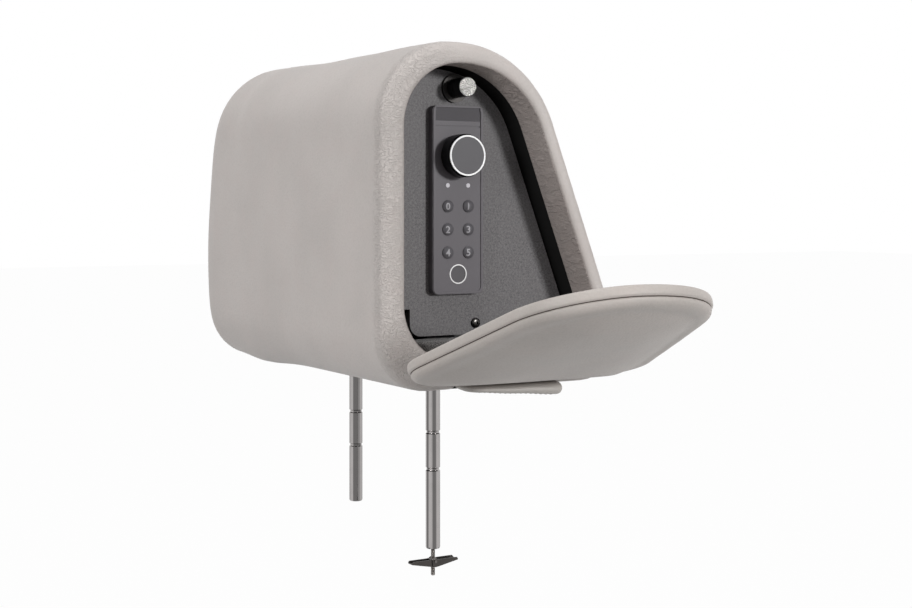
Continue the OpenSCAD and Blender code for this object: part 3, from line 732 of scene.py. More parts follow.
def ramp(value: np.ndarray | float, start: float, length: float) -> np.ndarray | float:
    """Straight rise from 0 at start to 1 after a length, which is below 0 for a fall."""
    return np.clip((value - start) / length, 0, 1)


def bell(value: np.ndarray, place: float, width: float) -> np.ndarray:
    """Bell curve of height 1 at a place."""
    return np.exp(-(((value - place) / width) ** 2))


def swell(points: np.ndarray, size: float, amount: float, seed: float) -> np.ndarray:
    """Slow, repeatable unevenness at points, from crossed waves.

    Args:
        points: Rows of x, y, z.
        size: Length of the shortest waves.
        amount: Height of the unevenness.
        seed: Shift of the waves.

    Returns:
        One height for each point.
    """
    x, y, z = (points[:, i] / size for i in range(3))
    waves = (
        np.sin(1.7 * x + 0.9 * y + seed)
        + np.sin(-1.1 * x + 1.9 * z + 2.3 * seed)
        + np.sin(0.8 * y - 1.5 * z + 0.7 * x + 1.3 * seed)
        + 0.5 * np.sin(3.1 * x + 2.3 * z - 1.2 * y + seed)
    )
    return amount * waves / 3.5


def stitches(
    name: str, path: np.ndarray, out: np.ndarray, length: float, gap: float, radius: float
) -> bpy.types.Object:
    """A row of separate thread stitches laid along a path.

    Args:
        name: Name of the piece.
        path: Points of the path.
        out: Outward direction at each point.
        length: Length of one stitch.
        gap: Gap between stitches.
        radius: Radius of the thread.

    Returns:
        One object that holds the row.
    """
    leg = np.r_[0, np.cumsum(np.linalg.norm(np.diff(path, axis=0), axis=1))]
    count = max(1, int(leg[-1] // (length + gap)))
    pitch = leg[-1] / count
    turn = np.linspace(0, 2 * math.pi, 6, endpoint=False)[:, None]
    points: list[np.ndarray] = []
    faces: Faces = []
    for k in range(count):
        ts = k * pitch + gap / 2 + np.linspace(0, pitch - gap, 7)
        mid = np.column_stack([np.interp(ts, leg, path[:, i]) for i in range(3)])
        up = np.column_stack([np.interp(ts, leg, out[:, i]) for i in range(3)])
        up /= np.linalg.norm(up, axis=1)[:, None]
        along = np.gradient(mid, axis=0)
        side = np.cross(along, up)
        side /= np.linalg.norm(side, axis=1)[:, None]
        arch = np.sin(np.linspace(0, math.pi, 7))
        rings = []
        for m, u, s, h in zip(mid, up, side, arch):
            r = radius * (0.35 + 0.65 * h**0.5)
            centre = m + u * radius * (0.9 * h - 0.5)
            rings.append(centre + r * (np.cos(turn) * s * 1.15 + np.sin(turn) * u))
        p, f = loft(rings)
        base = sum(len(q) for q in points)
        points.append(p)
        faces += [tuple(i + base for i in face) for face in f]
    return piece(name, np.vstack(points), faces, THREAD)


# Outline of the D.
@dataclass
class DOutline:
    """Outline of a D in the Y-Z plane: an upright side, a rounded head, a leaning side and a foot."""

    left: float
    top: float
    dist: float
    foot: float
    lean: float
    r_tl: float
    r_tr: float
    r_br: float
    r_bl: float
    arcs: tuple[int, int, int, int] = (14, 16, 10, 12)
    sides: tuple[int, int, int] = (18, 14, 18)

    def grown(self, t: float) -> "DOutline":
        """Same outline, offset outward.

        Args:
            t: How far; below 0 it is offset inward.

        Returns:
            The new outline.
        """
        return replace(
            self,
            left=self.left - t,
            top=self.top + t,
            dist=self.dist + t,
            foot=self.foot - t,
            r_tl=max(SMALLEST_CORNER, self.r_tl + t),
            r_tr=max(SMALLEST_CORNER, self.r_tr + t),
            r_br=max(SMALLEST_CORNER, self.r_br + t),
            r_bl=max(SMALLEST_CORNER, self.r_bl + t),
        )

    def drawn_in(self, inset: float, side: float, head: float) -> "DOutline":
        """Same outline, inset all round but by a smaller share at the upright side and the head.

        Args:
            inset: How far.
            side: Share of it at the upright side.
            head: Share of it at the head.

        Returns:
            The new outline.
        """
        made = self.grown(-inset)
        made.left -= (1 - side) * inset
        made.top += (1 - head) * inset
        made.r_tl = self.r_tl - 0.6 * inset
        made.r_bl = self.r_bl + 1.1 * inset
        return made

    def centres(self) -> list[tuple[float, float]]:
        """Centres of the four corner arcs.

        Returns:
            Their y and z: upper left, upper right, lower right, lower left.
        """
        s, c = math.sin(math.radians(self.lean)), math.cos(math.radians(self.lean))
        leaning = ((self.r_tr, self.top - self.r_tr), (self.r_br, self.foot + self.r_br))
        right = [((self.dist - r - s * z) / c, z) for r, z in leaning]
        head = (self.left + self.r_tl, self.top - self.r_tl)
        heel = (self.left + self.r_bl, self.foot + self.r_bl)
        return [head, *right, heel]

    def loop(self, crown: float = 0.0) -> np.ndarray:
        """Points once round, clockwise from the foot of the upright shoulder.

        Args:
            crown: Outward bow of the two upright sides.

        Returns:
            Rows of y, z.
        """
        spans = ((180, 90), (90, self.lean), (self.lean, -90), (-90, -180))
        radii = (self.r_tl, self.r_tr, self.r_br, self.r_bl)
        arcs = []
        for (cy, cz), r, (a0, a1), n in zip(self.centres(), radii, spans, self.arcs):
            a = np.radians(np.linspace(a0, a1, n + 1))
            arcs.append(np.column_stack([cy + r * np.cos(a), cz + r * np.sin(a)]))
        rows = [arcs[0], arcs[1]]
        leaning, foot, upright = self.sides
        for start, end, n, bow in ((1, 2, leaning, crown), (2, 3, foot, 0.0), (3, 0, upright, crown)):
            a, b = arcs[start][-1], arcs[end][0]
            s = (np.arange(1, n + 1) / (n + 1))[:, None]
            m = np.array([-(b - a)[1], (b - a)[0]]) / np.linalg.norm(b - a)
            rows.append(a + (b - a) * s + m * bow * 4 * s * (1 - s))
            if end:
                rows.append(arcs[end])
        return np.vstack(rows)


def at_x(x: float | np.ndarray, loop: np.ndarray) -> Ring:
    """Ring of a loop at a station along X."""
    return np.column_stack([np.broadcast_to(x, len(loop)), loop])


def eased(loop: np.ndarray, turns: int) -> np.ndarray:
    """Loop with its corners softened.

    Args:
        loop: Rows of y, z.
        turns: How many rounds of softening.

    Returns:
        The softened rows.
    """
    out = loop.copy()
    for _ in range(turns):
        out = 0.5 * out + 0.25 * (np.roll(out, 1, axis=0) + np.roll(out, -1, axis=0))
    return out


BODY_D = DOutline(-87.0, 210.6, 92.656, -5.5, 20.5, 51.0, 74.0, 27.0, 35.0, sides=(18, 44, 18))
MOUTH_D = DOutline(-70.0, 197.0, 79.456, 13.0, 20.4, 39.41, 60.0, 22.0, 35.0, sides=(18, 44, 18))
FLAP_D = DOutline(-88.4, 212.0, 96.856, 8.4, 20.5, 49.7, 90.0, 30.0, 48.0, arcs=(18, 20, 12, 14))


# Sub-assemblies.
@dataclass
class PaddedBody:
    """The leather skin over the foam, from the roll of the rim to the closed far end."""

    half: float = 153.0
    far_round: float = 43.0
    far_inset: float = 42.0
    far_side: float = 0.54
    far_head: float = 0.85
    far_lean: float = 21.0
    far_start: float = 0.36
    far_rise: float = 3.8
    far_bulge: float = 2.0
    crown: float = 1.8
    rim_back: float = 9.5
    plate_x: tuple[float, float] = (-105.2, 140.4)
    plate_y: tuple[float, float] = (-53.4, 55.4)
    strap_span: tuple[float, float] = (-35.0, 39.0)
    lining_x: tuple[float, float] = (132.0, 150.9)
    lining_thick: float = 0.8
    flare: float = 3.4
    flare_start: float = 138.0
    hem: float = 1.3
    valley_x: float = -84.0
    valley_width: float = 5.5
    valley_deep: float = 0.6
    sag_x: float = -78.0
    sag_width: float = 38.0
    sag: float = 3.4
    heart: Point = (0.0, -10.0, 95.0)
    roll: list[tuple[float, float]] = field(
        default_factory=lambda: [
            (2.7, 0), (1.2, 0.06), (0.3, 0.22), (0, 0.42), (0, 0.6), (0.9, 0.8), (3.2, 0.94), (8, 1),
        ]
    )

    def leaned(self, ring: Ring) -> Ring:
        """Ring with its far points drawn out towards the foot, as in the solids.

        Args:
            ring: A ring of the body.

        Returns:
            The leaning ring.
        """
        out = ring.copy()
        height = np.clip(ring[:, 2] / BODY_D.top, -0.03, 1)
        far = np.clip(self.far_start - ring[:, 0] / self.half, 0, 1)
        out[:, 0] -= self.far_lean * (1 - height) ** 1.2 * far
        out[:, 2] += self.far_rise * np.maximum(height, 0) ** 3 * ramp(far, 0.4, 0.8)
        return out

    def flared(self, share: float, out: float = 0.0) -> DOutline:
        """Outline of the mouth, widened towards its leaning side.

        Args:
            share: Share of the full flare.
            out: How far it is offset outward.

        Returns:
            The outline.
        """
        made = MOUTH_D.grown(out)
        made.dist += self.flare * share
        return made

    def rings(self) -> list[Ring]:
        """Rings from the inner edge of the rim to the middle of the far end.

        Returns:
            The rings.
        """
        inner, outer = self.flared(1.0).loop(), BODY_D.loop()
        out = []
        for back, share in spline(self.roll, 6):
            w = min(max(share, 0.0), 1.0)
            out.append(at_x(self.half - back, inner * (1 - w) + outer * w))
        x0 = self.half - self.rim_back
        edges = {edge + side for edge in self.plate_x for side in (-0.05, 0.05)}
        even = np.linspace(x0, -self.half + self.far_round + 1, 42).round(3)
        for x in sorted({*even, *edges}, reverse=True):
            ease = min(1.0, (x0 - x) / 60)
            out.append(self.leaned(at_x(x, BODY_D.loop(self.crown * ease))))
        for a in np.radians(np.linspace(2, 86, 22)):
            x = -self.half + self.far_round * (1 - math.sin(a))
            drawn = BODY_D.drawn_in(self.far_inset * (1 - math.cos(a)), self.far_side, self.far_head)
            out.append(self.leaned(at_x(x, eased(drawn.loop(self.crown), int(a * 14)))))
        drawn = BODY_D.drawn_in(self.far_inset, self.far_side, self.far_head)
        flat = eased(drawn.loop(self.crown), 24)
        mid = flat.mean(axis=0)
        for s in np.linspace(0, 0.96, 14):
            x = -self.half - self.far_bulge * (1 - (1 - s) ** 2.2) + 0.15 * (1 - s)
            out.append(self.leaned(at_x(x, flat + (mid - flat) * s)))
        return out

    def seated(self, points: np.ndarray) -> np.ndarray:
        """Points with the hollow in the foot that takes the base plate, its pad and the strap.

        Args:
            points: Rows of x, y, z.

        Returns:
            The same rows, lifted over the hollow and set on its edges.
        """
        x, y, z = points.T.copy()
        (x0, x1), (y0, y1), (strap_low, strap_high) = self.plate_x, self.plate_y, self.strap_span
        near = (x0 - 3 < x) & (x < x1) & (z < -4)
        for edge, side in ((y0, 1), (y1, -1)):
            inside = near & (np.abs(y - edge) < 2.6) & ((y - edge) * side > -1.3)
            y = np.where(inside, edge, y)
        plate = (x > x0) & (x < x1) & (y >= y0) & (y <= y1)
        strap = (x >= x1) & (y > strap_low) & (y < strap_high)
        z = np.where((plate | strap) & (z < 0.1), 0.1, z)
        return np.column_stack([x, y, z])

    def skin(self) -> bpy.types.Object:
        """The leather skin with its slow unevenness and the soft valley before the far end.

        Returns:
            The piece.
        """
        points, faces = loft(self.rings(), first=False)
        x, y, z = points.T
        out = points - self.heart
        out[:, 0] *= 0.15
        out /= np.linalg.norm(out, axis=1)[:, None]
        uneven = swell(points, 26.0, 0.4, 1.3) + swell(points, 60.0, 0.5, 4.1)
        valley = self.valley_deep * bell(x, self.valley_x, self.valley_width) * ramp(z, 120, 60)
        slow = (uneven * ramp(x, self.half - 12, -30) - valley) * ramp(z, 2, 25)
        slant = points @ np.array([[1.0, 0, 0], [0, 1.0, 1.1], [0, -1.1, 1.0]])
        slanted = swell(slant * (0.5, 0.4, 2.2), 3.4, 0.28, 0.6) * ramp(y, -30, -25) * ramp(z, 130, -40)
        ripple = (swell(points, 4.2, 0.1, 2.2) + slanted) * ramp(x, self.half - 9, 5)
        points = points + out * (slow + ripple)[:, None]
        x, y, z = points.T
        sag = self.sag * bell(x, self.sag_x, self.sag_width) * ramp(z, 30, -30) ** 1.5
        outside = ramp(y, self.plate_y[0] - 1, -8) + ramp(x, self.plate_x[0] - 2, -8)
        points[:, 2] -= sag * np.minimum(outside, 1)
        obj = piece("padded_leather_body", self.seated(points), faces, LEATHER)
        return thicken(obj, "hem", self.hem, -1)

    def lining(self) -> bpy.types.Object:
        """The wrinkled leather inside the rim, between the roll and the steel tube.

        Returns:
            The piece.
        """
        rings = []
        start, end = self.lining_x
        for x in np.linspace(start, end, 30):
            loop = self.flared(ramp(x, self.flare_start, end - self.flare_start) ** 1.5, 0.45)
            loop.sides, loop.arcs = (60, 40, 60), (40, 46, 30, 36)
            p = at_x(x, loop.loop())
            inward = np.column_stack([np.zeros(len(p)), p.mean(axis=0)[1:] - p[:, 1:]])
            inward /= np.linalg.norm(inward, axis=1)[:, None]
            height = np.clip((p[:, 2] - 70) / 90, 0.2, 1)
            slant = p @ np.array([[0.5, 0, 0.35], [0, 1, 0], [-0.35, 0, 0.8]])
            fold = swell(slant, 2.3, 0.5, 3.3) + swell(p, 5.5, 0.35, 0.4)
            ends = ramp(min(end - x, x - 135), 0, 3)
            rings.append(p + inward * (fold * height * ends + 0.1)[:, None])
        points, faces = loft(rings, False, False)
        return thicken(piece("mouth_lining", points, faces, LINING), "leather", self.lining_thick)

    def build(self) -> None:
        """Builds and places the skin and the lining."""
        skin = self.skin()
        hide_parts("leather_cover", "foam_core")
        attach(skin, "headrest")
        lining = self.lining()
        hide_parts("rim_lining")
        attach(lining, "headrest")
        LOG.info("padded body: %s, %s", skin.name, lining.name)


@dataclass
class Flap:
    """The hinged end flap: crowned outer face, sewn gusset, flat inner face and curved hinge leather."""

    hinge_x: float = 154.1
    hinge_z: float = 8.2
    opened: float = 72.3
    gap: float = 0.7
    edge: float = 6.0
    crown: float = 12.0
    strike: tuple[float, float] = (-16.0, 184.0)
    strike_r: float = 8.1
    thread_r: float = 0.42
    board_back: float = 1.9
    leather: float = 1.2
    fold_y: tuple[float, float] = (-50.0, 48.0)
    fold: list[tuple[float, float]] = field(
        default_factory=lambda: [
            (150.6, -2.4), (152.6, -1.4), (153.8, 0.1), (154.9, 1.15),
            (156.3, 1.3), (158.4, 0.1), (160.6, -0.6),
        ]
    )

    def swing(self, points: np.ndarray) -> np.ndarray:
        """Turns points of the closed flap to the pose of the photograph.

        Args:
            points: Rows of x, y, z with the flap closed.

        Returns:
            The turned rows.
        """
        s, c = math.sin(math.radians(self.opened)), math.cos(math.radians(self.opened))
        x, z = points[:, 0] - self.hinge_x, points[:, 2] - self.hinge_z
        return np.column_stack([self.hinge_x + x * c + z * s, points[:, 1], self.hinge_z - x * s + z * c])

    def shell(self) -> bpy.types.Object:
        """Gusset, seam and crowned outer face in one leather shell.

        Returns:
            The piece.
        """
        x0 = self.hinge_x + self.gap
        xe = x0 + self.edge
        side = [
            (1.4, -5.0), (0.9, -3.4), (0.25, -2.4), (0, -1.4), (0.5, -0.4), (1.8, 0.1), (4.0, 0.12),
            (self.edge - 0.9, -0.1), (self.edge - 0.25, -0.7),
        ]
        seam = [(-0.05, -1.5), (0.15, -2.0), (0.35, -1.45)]
        face = [
            (1.1, -1.1), (2.6, -1.7), (4.0, -3.2), (4.95, -5.6), (5.45, -8.6), (5.7, -11.6), (6.2, -14.6),
            (7.4, -19), (9.0, -26), (10.9, -38), (11.75, -52),
        ]
        rings = []
        for start, knots, steps in ((x0, side, 4), (xe, seam, 2), (xe, face, 4)):
            for x, t in spline(knots, steps):
                softened = int(max(0.0, -t - 12) * 0.8)
                rings.append(at_x(start + x, eased(FLAP_D.grown(t).loop(), softened)))
        last = rings[-1]
        mid = last.mean(axis=0)
        for s in np.linspace(0.12, 0.95, 8):
            ring = last + (mid - last) * s
            ring[:, 0] = last[:, 0] + (xe + self.crown - last[:, 0]) * (1 - (1 - s) ** 2)
            rings.append(ring)
        points, faces = loft(rings, first=False)
        lift = ramp(points[:, 0], xe + 1, 4)
        points[:, 0] += (swell(points, 22.0, 0.3, 5.2) + swell(points, 9.0, 0.06, 2.0)) * lift
        return piece("flap_leather_shell", self.swing(points), faces, LEATHER_FLAP)

    def face(self) -> bpy.types.Object:
        """The flat inner face, with a hole for the strike disc.

        Returns:
            The piece.
        """
        x0 = self.hinge_x + self.gap
        outer = eased(FLAP_D.grown(-2.6).loop(), 1)
        angle = np.arctan2(*(outer - self.strike).T[::-1])
        hole = self.strike + self.strike_r * np.column_stack([np.cos(angle), np.sin(angle)])
        rings = [at_x(x0 + 1.2, FLAP_D.grown(-3.6).loop()), at_x(x0 + 0.7, outer)]
        rings += [at_x(x0 + x, FLAP_D.grown(t).loop()) for x, t in ((0.25, -3.2), (0.02, -4.6))]
        start = rings[-1][:, 1:]
        for s in (0.06, 0.3, 0.6, 0.85, 0.97):
            loop = start + (hole - start) * s
            rings.append(at_x(x0 - 0.02 + 0.12 * math.sin(math.pi * s), loop))
        rings.append(at_x(x0 + 0.15, hole))
        rings.append(at_x(x0 + 0.9, hole))
        points, faces = loft(rings, False, False)
        return piece("flap_inner_face", self.swing(points), faces, INNER)

    def board(self) -> bpy.types.Object:
        """The ply board inside the leather, with the flap's own corners.

        Returns:
            The piece.
        """
        x0 = self.hinge_x + self.board_back
        edges = ((0, -3.7), (0.3, -3.4), (3.6, -3.4), (3.9, -3.7))
        points, faces = loft([at_x(x0 + x, FLAP_D.grown(t).loop()) for x, t in edges])
        return piece("flap_ply_board", self.swing(points), faces, BOARD)

    def welt(self) -> bpy.types.Object:
        """Dark line of thread in the groove between the gusset and the outer face.

        Returns:
            The piece.
        """
        x0 = self.hinge_x + self.gap + self.edge - 0.1
        rings = []
        for a in np.linspace(0, 2 * math.pi, 9):
            loop = FLAP_D.grown(-1.62 + self.thread_r * math.sin(a)).loop()
            rings.append(at_x(x0 + self.thread_r * math.cos(a), loop))
        points, faces = loft(rings, False, False)
        return piece("flap_seam_thread", self.swing(points), faces, SEAM)

    def seam(self) -> bpy.types.Object:
        """Row of stitches round the inner face.

        Returns:
            The piece.
        """
        loop = FLAP_D.grown(-6.4).loop()
        loop = np.vstack([loop, loop[:1]])
        path = self.swing(at_x(self.hinge_x + self.gap, loop))
        inward = np.array([[-1.0, 0.0, 0.0]])
        out = self.swing(path * 0 + inward) - self.swing(path * 0)
        return stitches("flap_face_stitches", path, out, length=3.0, gap=1.3, radius=0.22)

    def bend(self) -> bpy.types.Object:
        """Curved leather between the body and the flap, in one fixed shape.

        Returns:
            The piece.
        """
        curve = spline(self.fold, 5)
        y0, y1 = self.fold_y
        rings = []
        for y in np.linspace(y0, y1, 60):
            edge = min(1.0, min(y - y0, y1 - y) / 10 + 0.25)
            z = curve[:, 1] - 0.075 * math.sin(y * 0.16) + 1 - edge
            rings.append(np.column_stack([curve[:, 0], np.full(len(curve), y), z]))
        points, faces = loft(rings, False, False, closed=False)
        return thicken(piece("flap_hinge_leather", points, faces, LEATHER_FLAP), "leather", self.leather)

    def build(self) -> None:
        """Builds and places the flap's soft pieces."""
        shell = self.shell()
        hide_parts("flap_cushion")
        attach(shell, "flap")
        face = self.face()
        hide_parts("flap_lining")
        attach(face, "flap")
        board = self.board()
        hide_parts("flap_board")
        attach(board, "flap")
        seam = self.seam()
        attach(seam, "flap")
        welt = self.welt()
        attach(welt, "flap")
        bend = self.bend()
        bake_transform(bend)
        for obj in (shell, face, board, seam, welt, bend):
            LOG.info("flap: %s", obj.name)


@dataclass
class Underside:
    """Leather pad on the base plate and the stitched strap that carries the flap."""

    pad_x: tuple[float, float] = (-103.8, 139.0)
    pad_y: tuple[float, float] = (-52.0, 54.0)
    pad_r: float = 9.0
    strap_x: float = 140.5
    strap_y: float = 2.0
    strap_w: float = 68.0
    strap_r: float = 9.0
    strap_top: float = -0.4
    strap_mid: tuple[float, float] = (15.0, -4.2)
    strap_reach: float = 15.1
    depths: tuple[float, float] = (0.72, 1.45)
    section: list[tuple[float, float]] = field(
        default_factory=lambda: [
            (0, -0.4), (6, -0.4), (11, -1.0), (17, -1.0), (22, -1.5), (27, -2.2), (30, -4),
            (29.6, -6), (26, -7.4), (14, -7.6), (0, -5.8),
        ]
    )

    def pad(self) -> bpy.types.Object:
        """The leather pad between the plate and the body, with rounded edges.

        Returns:
            The piece.
        """
        (x0, x1), (y0, y1), r = self.pad_x, self.pad_y, self.pad_r
        corners = ((x1 - r, y1 - r), (x0 + r, y1 - r), (x0 + r, y0 + r), (x1 - r, y0 + r))
        low = ((6, -2.95), (1.0, -2.95), (0.25, -2.6), (0, -1.6))
        high = ((0.25, -0.5), (1.0, -0.08), (6, -0.05))
        rings = []
        for t, z in (*low, *high):
            rows = []
            for (cx, cy), start in zip(corners, (0, 90, 180, 270)):
                a = np.radians(np.linspace(start, start + 90, 9))
                flat = (cx + (r - t) * np.cos(a), cy + (r - t) * np.sin(a))
                rows.append(np.column_stack([*flat, np.full(len(a), z)]))
            rings.append(np.vstack(rows))
        points, faces = loft(rings)
        return piece("base_leather_pad", points, faces, LEATHER_STRAP)

    def hung(self, z: float | np.ndarray, y: float | np.ndarray) -> np.ndarray:
        """Height z of the strap's section at a place along its width, since its far side hangs lower."""
        share = np.interp(y, (-self.strap_w / 2, self.strap_w / 2), self.depths)
        return (z - self.strap_top) * share + self.strap_top

    def strap(self) -> bpy.types.Object:
        """The folded strap with soft rounded corners, which hangs lower at its far side.

        Returns:
            The piece.
        """
        half, r = self.strap_w / 2, self.strap_r
        curve = spline([*self.section, self.section[0]], 5)[:-1]
        mid, reach = np.array(self.strap_mid), self.strap_reach
        straight = np.linspace(-half + r, half - r, 26)[1:-1]
        rings = []
        for y in np.r_[np.linspace(-half, -half + r, 12), straight, np.linspace(half - r, half, 12)]:
            over = max(0.0, abs(y) - (half - r))
            width = (reach - r + math.sqrt(max(0.0, r * r - over * over))) / reach
            soft = 6.0 if y > 0 else 2.2
            past = max(0.0, abs(y) - (half - soft)) / soft
            thick = math.sqrt(max(0.0, 1 - past**2)) * 0.75 + 0.25
            p = mid + (curve - mid) * (width, thick)
            z = self.hung(p[:, 1], y) + 0.125 * math.sin(y * 0.21) * ramp(p[:, 0], 6, 20)
            rings.append(np.column_stack([self.strap_x + p[:, 0], np.full(len(p), self.strap_y + y), z]))
        points, faces = loft(rings)
        return piece("flap_strap", points, faces, LEATHER_STRAP)

    def strap_stitches(self) -> list[bpy.types.Object]:
        """Stitch rows along the strap's fold and across its ends.

        Returns:
            The rows.
        """
        half = self.strap_w / 2
        rows = []
        ys = np.linspace(-half + 6, half - 6, 40)
        for k, (dx, dz, ox, oz) in enumerate(((22.5, -7.6, 0.0, -1.0), (29.6, -5.2, 1.0, -0.2))):
            low = self.hung(dz, ys) + 0.12 * np.sin(ys * 0.21)
            path = np.column_stack([np.full(len(ys), self.strap_x + dx), self.strap_y + ys, low])
            out = np.tile((ox, 0.0, oz), (len(ys), 1))
            rows.append(stitches(f"strap_stitches_{k}", path, out, length=2.6, gap=1.0, radius=0.25))
        for k, s in enumerate((-1, 1)):
            xs = np.linspace(6, 23, 12)
            y = s * (half - 6.5)
            low = self.hung(np.interp(xs, [0, 14, 26], [-5.9, -7.62, -7.45]), y)
            path = np.column_stack([self.strap_x + xs, np.full(len(xs), self.strap_y + y), low])
            out = np.tile((0.0, 0.0, -1.0), (len(xs), 1))
            rows.append(stitches(f"strap_end_stitches_{k}", path, out, length=2.6, gap=1.0, radius=0.25))
        return rows

    def build(self) -> None:
        """Builds and places the pad and the strap."""
        pad = self.pad()
        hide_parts("base_pad")
        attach(pad, "headrest")
        strap = self.strap()
        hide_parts("hinge_strap")
        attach(strap, "headrest")
        rows = self.strap_stitches()
        for row in rows:
            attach(row, "headrest")
        for obj in (pad, strap, *rows):
            LOG.info("underside: %s", obj.name)


@dataclass
class FeltWork:
    """Felt step in the mouth and felt floor inside the safe."""

    step_x: tuple[float, float] = (119.3, 148.4)
    step_top: float = 25.1
    slope: float = 10.5
    slope_drop: float = 6.0
    floor_x: tuple[float, float] = (-116.8, 87.8)
    floor_top: float = 14.4
    spacing: float = 1.2
    most: int = 90

    def slab(
        self, name: str, xs: tuple[float, float], outline: DOutline, top: float, fuzz: float, slope: float
    ) -> bpy.types.Object:
        """A felt piece that fills the foot of an outline up to a height.

        Args:
            name: Name of the piece.
            xs: First and last station along X.
            outline: Outline that it lies in.
            top: Height of its upper face.
            fuzz: Height of the uneven nap.
            slope: Length of the slope at its first end, 0 for none.

        Returns:
            The piece.
        """
        loop = outline.loop()
        low = loop[loop[:, 1] < top]
        low = low[np.argsort(low[:, 0])]
        lid_y = np.linspace(low[-1][0], low[0][0], self.most)
        lid = np.column_stack([lid_y, np.full(self.most, top)])
        rings = []
        count = int((xs[1] - xs[0]) / self.spacing) + 2
        for x in np.linspace(xs[0], xs[1], min(count, self.most)):
            p = at_x(x, np.vstack([low, lid]))
            nap = p[len(low):]
            edge = min(1.0, min(x - xs[0], xs[1] - x) / self.spacing)
            if slope:
                nap[:, 2] -= self.slope_drop * max(0.0, 1 - (x - xs[0]) / slope)
            nap[:, 2] += swell(nap, 1.1, fuzz, 1.7) + swell(nap, 4.0, fuzz, 0.2) - 0.8 * (1 - edge) ** 2
            rings.append(p)
        points, faces = loft(rings)
        return piece(name, points, faces, FELT)

    def build(self) -> None:
        """Builds and places both felt pieces."""
        step = self.slab("felt_step", self.step_x, MOUTH_D.grown(-0.25), self.step_top, 0.18, self.slope)
        floor = self.slab("felt_floor", self.floor_x, MOUTH_D.grown(0.85), self.floor_top, 0.1, 0.0)
        for obj, node in ((step, "floor_mat"), (floor, "felt_liner")):
            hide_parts(node)
            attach(obj, "headrest")
        LOG.info("felt: %s, %s", step.name, floor.name)


@dataclass
class KeypadMarks:
    """Plain digits on the six domed keys."""

    column: float = 15.0
    row: float = 14.8
    centre_y: float = -16.0
    first_z: float = 108.2
    dome_r: float = 6.0
    dome_top: float = 124.4
    height: float = 4.6
    aside: float = -0.8
    ink: float = 0.06

    def digit(self, number: int) -> bpy.types.Object:
        """One digit wrapped over the dome of its key.

        Args:
            number: Which key.

        Returns:
            The piece.
        """
        text = bpy.data.curves.new(f"digit_{number}", "FONT")
        text.body = str(number)
        text.size = 5.0
        text.align_x, text.align_y = "CENTER", "CENTER"
        text.resolution_u = 3
        text.offset = 0.1
        holder = bpy.data.objects.new("digit_holder", text)
        bpy.context.scene.collection.objects.link(holder)
        bpy.context.view_layer.update()
        flat = bpy.data.meshes.new_from_object(holder)
        bpy.data.objects.remove(holder)
        bm = bmesh.new()
        bm.from_mesh(flat)
        bmesh.ops.triangulate(bm, faces=bm.faces)
        bmesh.ops.subdivide_edges(bm, edges=bm.edges, cuts=4, use_grid_fill=True)
        lo = min(v.co.y for v in bm.verts)
        hi = max(v.co.y for v in bm.verts)
        across = (min(v.co.x for v in bm.verts) + max(v.co.x for v in bm.verts)) / 2
        scale = self.height / (hi - lo)
        cy = self.centre_y + (-1 if number % 2 == 0 else 1) * self.column / 2 + self.aside
        cz = self.first_z - (number // 2) * self.row
        points = []
        for v in bm.verts:
            y, z = (v.co.x - across) * scale, (v.co.y - (lo + hi) / 2) * scale
            rise = math.sqrt(self.dome_r**2 - (y + self.aside) ** 2 - z * z) - self.dome_r
            points.append((self.dome_top + rise + 0.1, cy + y, cz + z))
        faces = [tuple(v.index for v in f.verts) for f in bm.faces]
        bm.free()
        bpy.data.meshes.remove(flat)
        return thicken(piece(f"digit_{number}", np.array(points), faces, DIGIT), "ink", self.ink)

    def build(self) -> None:
        """Builds the digits, each on the body of its key."""
        for number in range(6):
            obj = self.digit(number)
            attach(obj, f"key_{number}_body")
            LOG.info("keypad: %s", obj.name)


@dataclass
class ToggleRod:
    """The threaded rod that runs down the hollow post, with its socket head."""

    x: float = 60.0
    radius: float = 1.5
    pitch: float = 0.5
    low: float = -143.4
    thread_top: float = -121.0
    high: float = 16.2
    head_r: float = 2.76
    head_h: float = 3.0
    socket_r: float = 1.35
    socket_floor: float = 1.1
    sides: int = 16

    def ring(self, r: np.ndarray | float, z: float) -> Ring:
        """Circle round the rod's axis, of one radius or of one for each side."""
        a = np.linspace(0, 2 * math.pi, self.sides, endpoint=False)
        return np.column_stack([self.x + r * np.cos(a), r * np.sin(a), np.full(self.sides, z)])

    def build(self) -> None:
        """Builds the rod with a true helical thread on its lower end."""
        a = np.linspace(0, 2 * math.pi, self.sides, endpoint=False)
        rings = [self.ring(self.radius - 0.55, self.low)]
        z = self.low + 0.25
        while z < self.thread_top:
            phase = (z / self.pitch - a / (2 * math.pi)) % 1.0
            depth = 0.3 * np.abs(2 * phase - 1)
            fade = min(1.0, (z - self.low) / 0.6)
            rings.append(self.ring((self.radius - depth) * (0.86 + 0.14 * fade), z))
            z += self.pitch / 6
        rings += [self.ring(self.radius, self.thread_top + 0.2), self.ring(self.radius, self.high)]
        head = (
            (self.head_r - 0.2, 0.0), (self.head_r, 0.2),
            (self.head_r, self.head_h - 0.3), (self.head_r - 0.3, self.head_h),
            (self.socket_r, self.head_h), (self.socket_r - 0.1, self.socket_floor),
        )
        rings += [self.ring(r, self.high + rise) for r, rise in head]
        points, faces = loft(rings)
        obj = piece("threaded_toggle_rod", points, faces, ROD)
        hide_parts("toggle_rod")
        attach(obj, "rod")
        LOG.info("toggle: %s", obj.name)


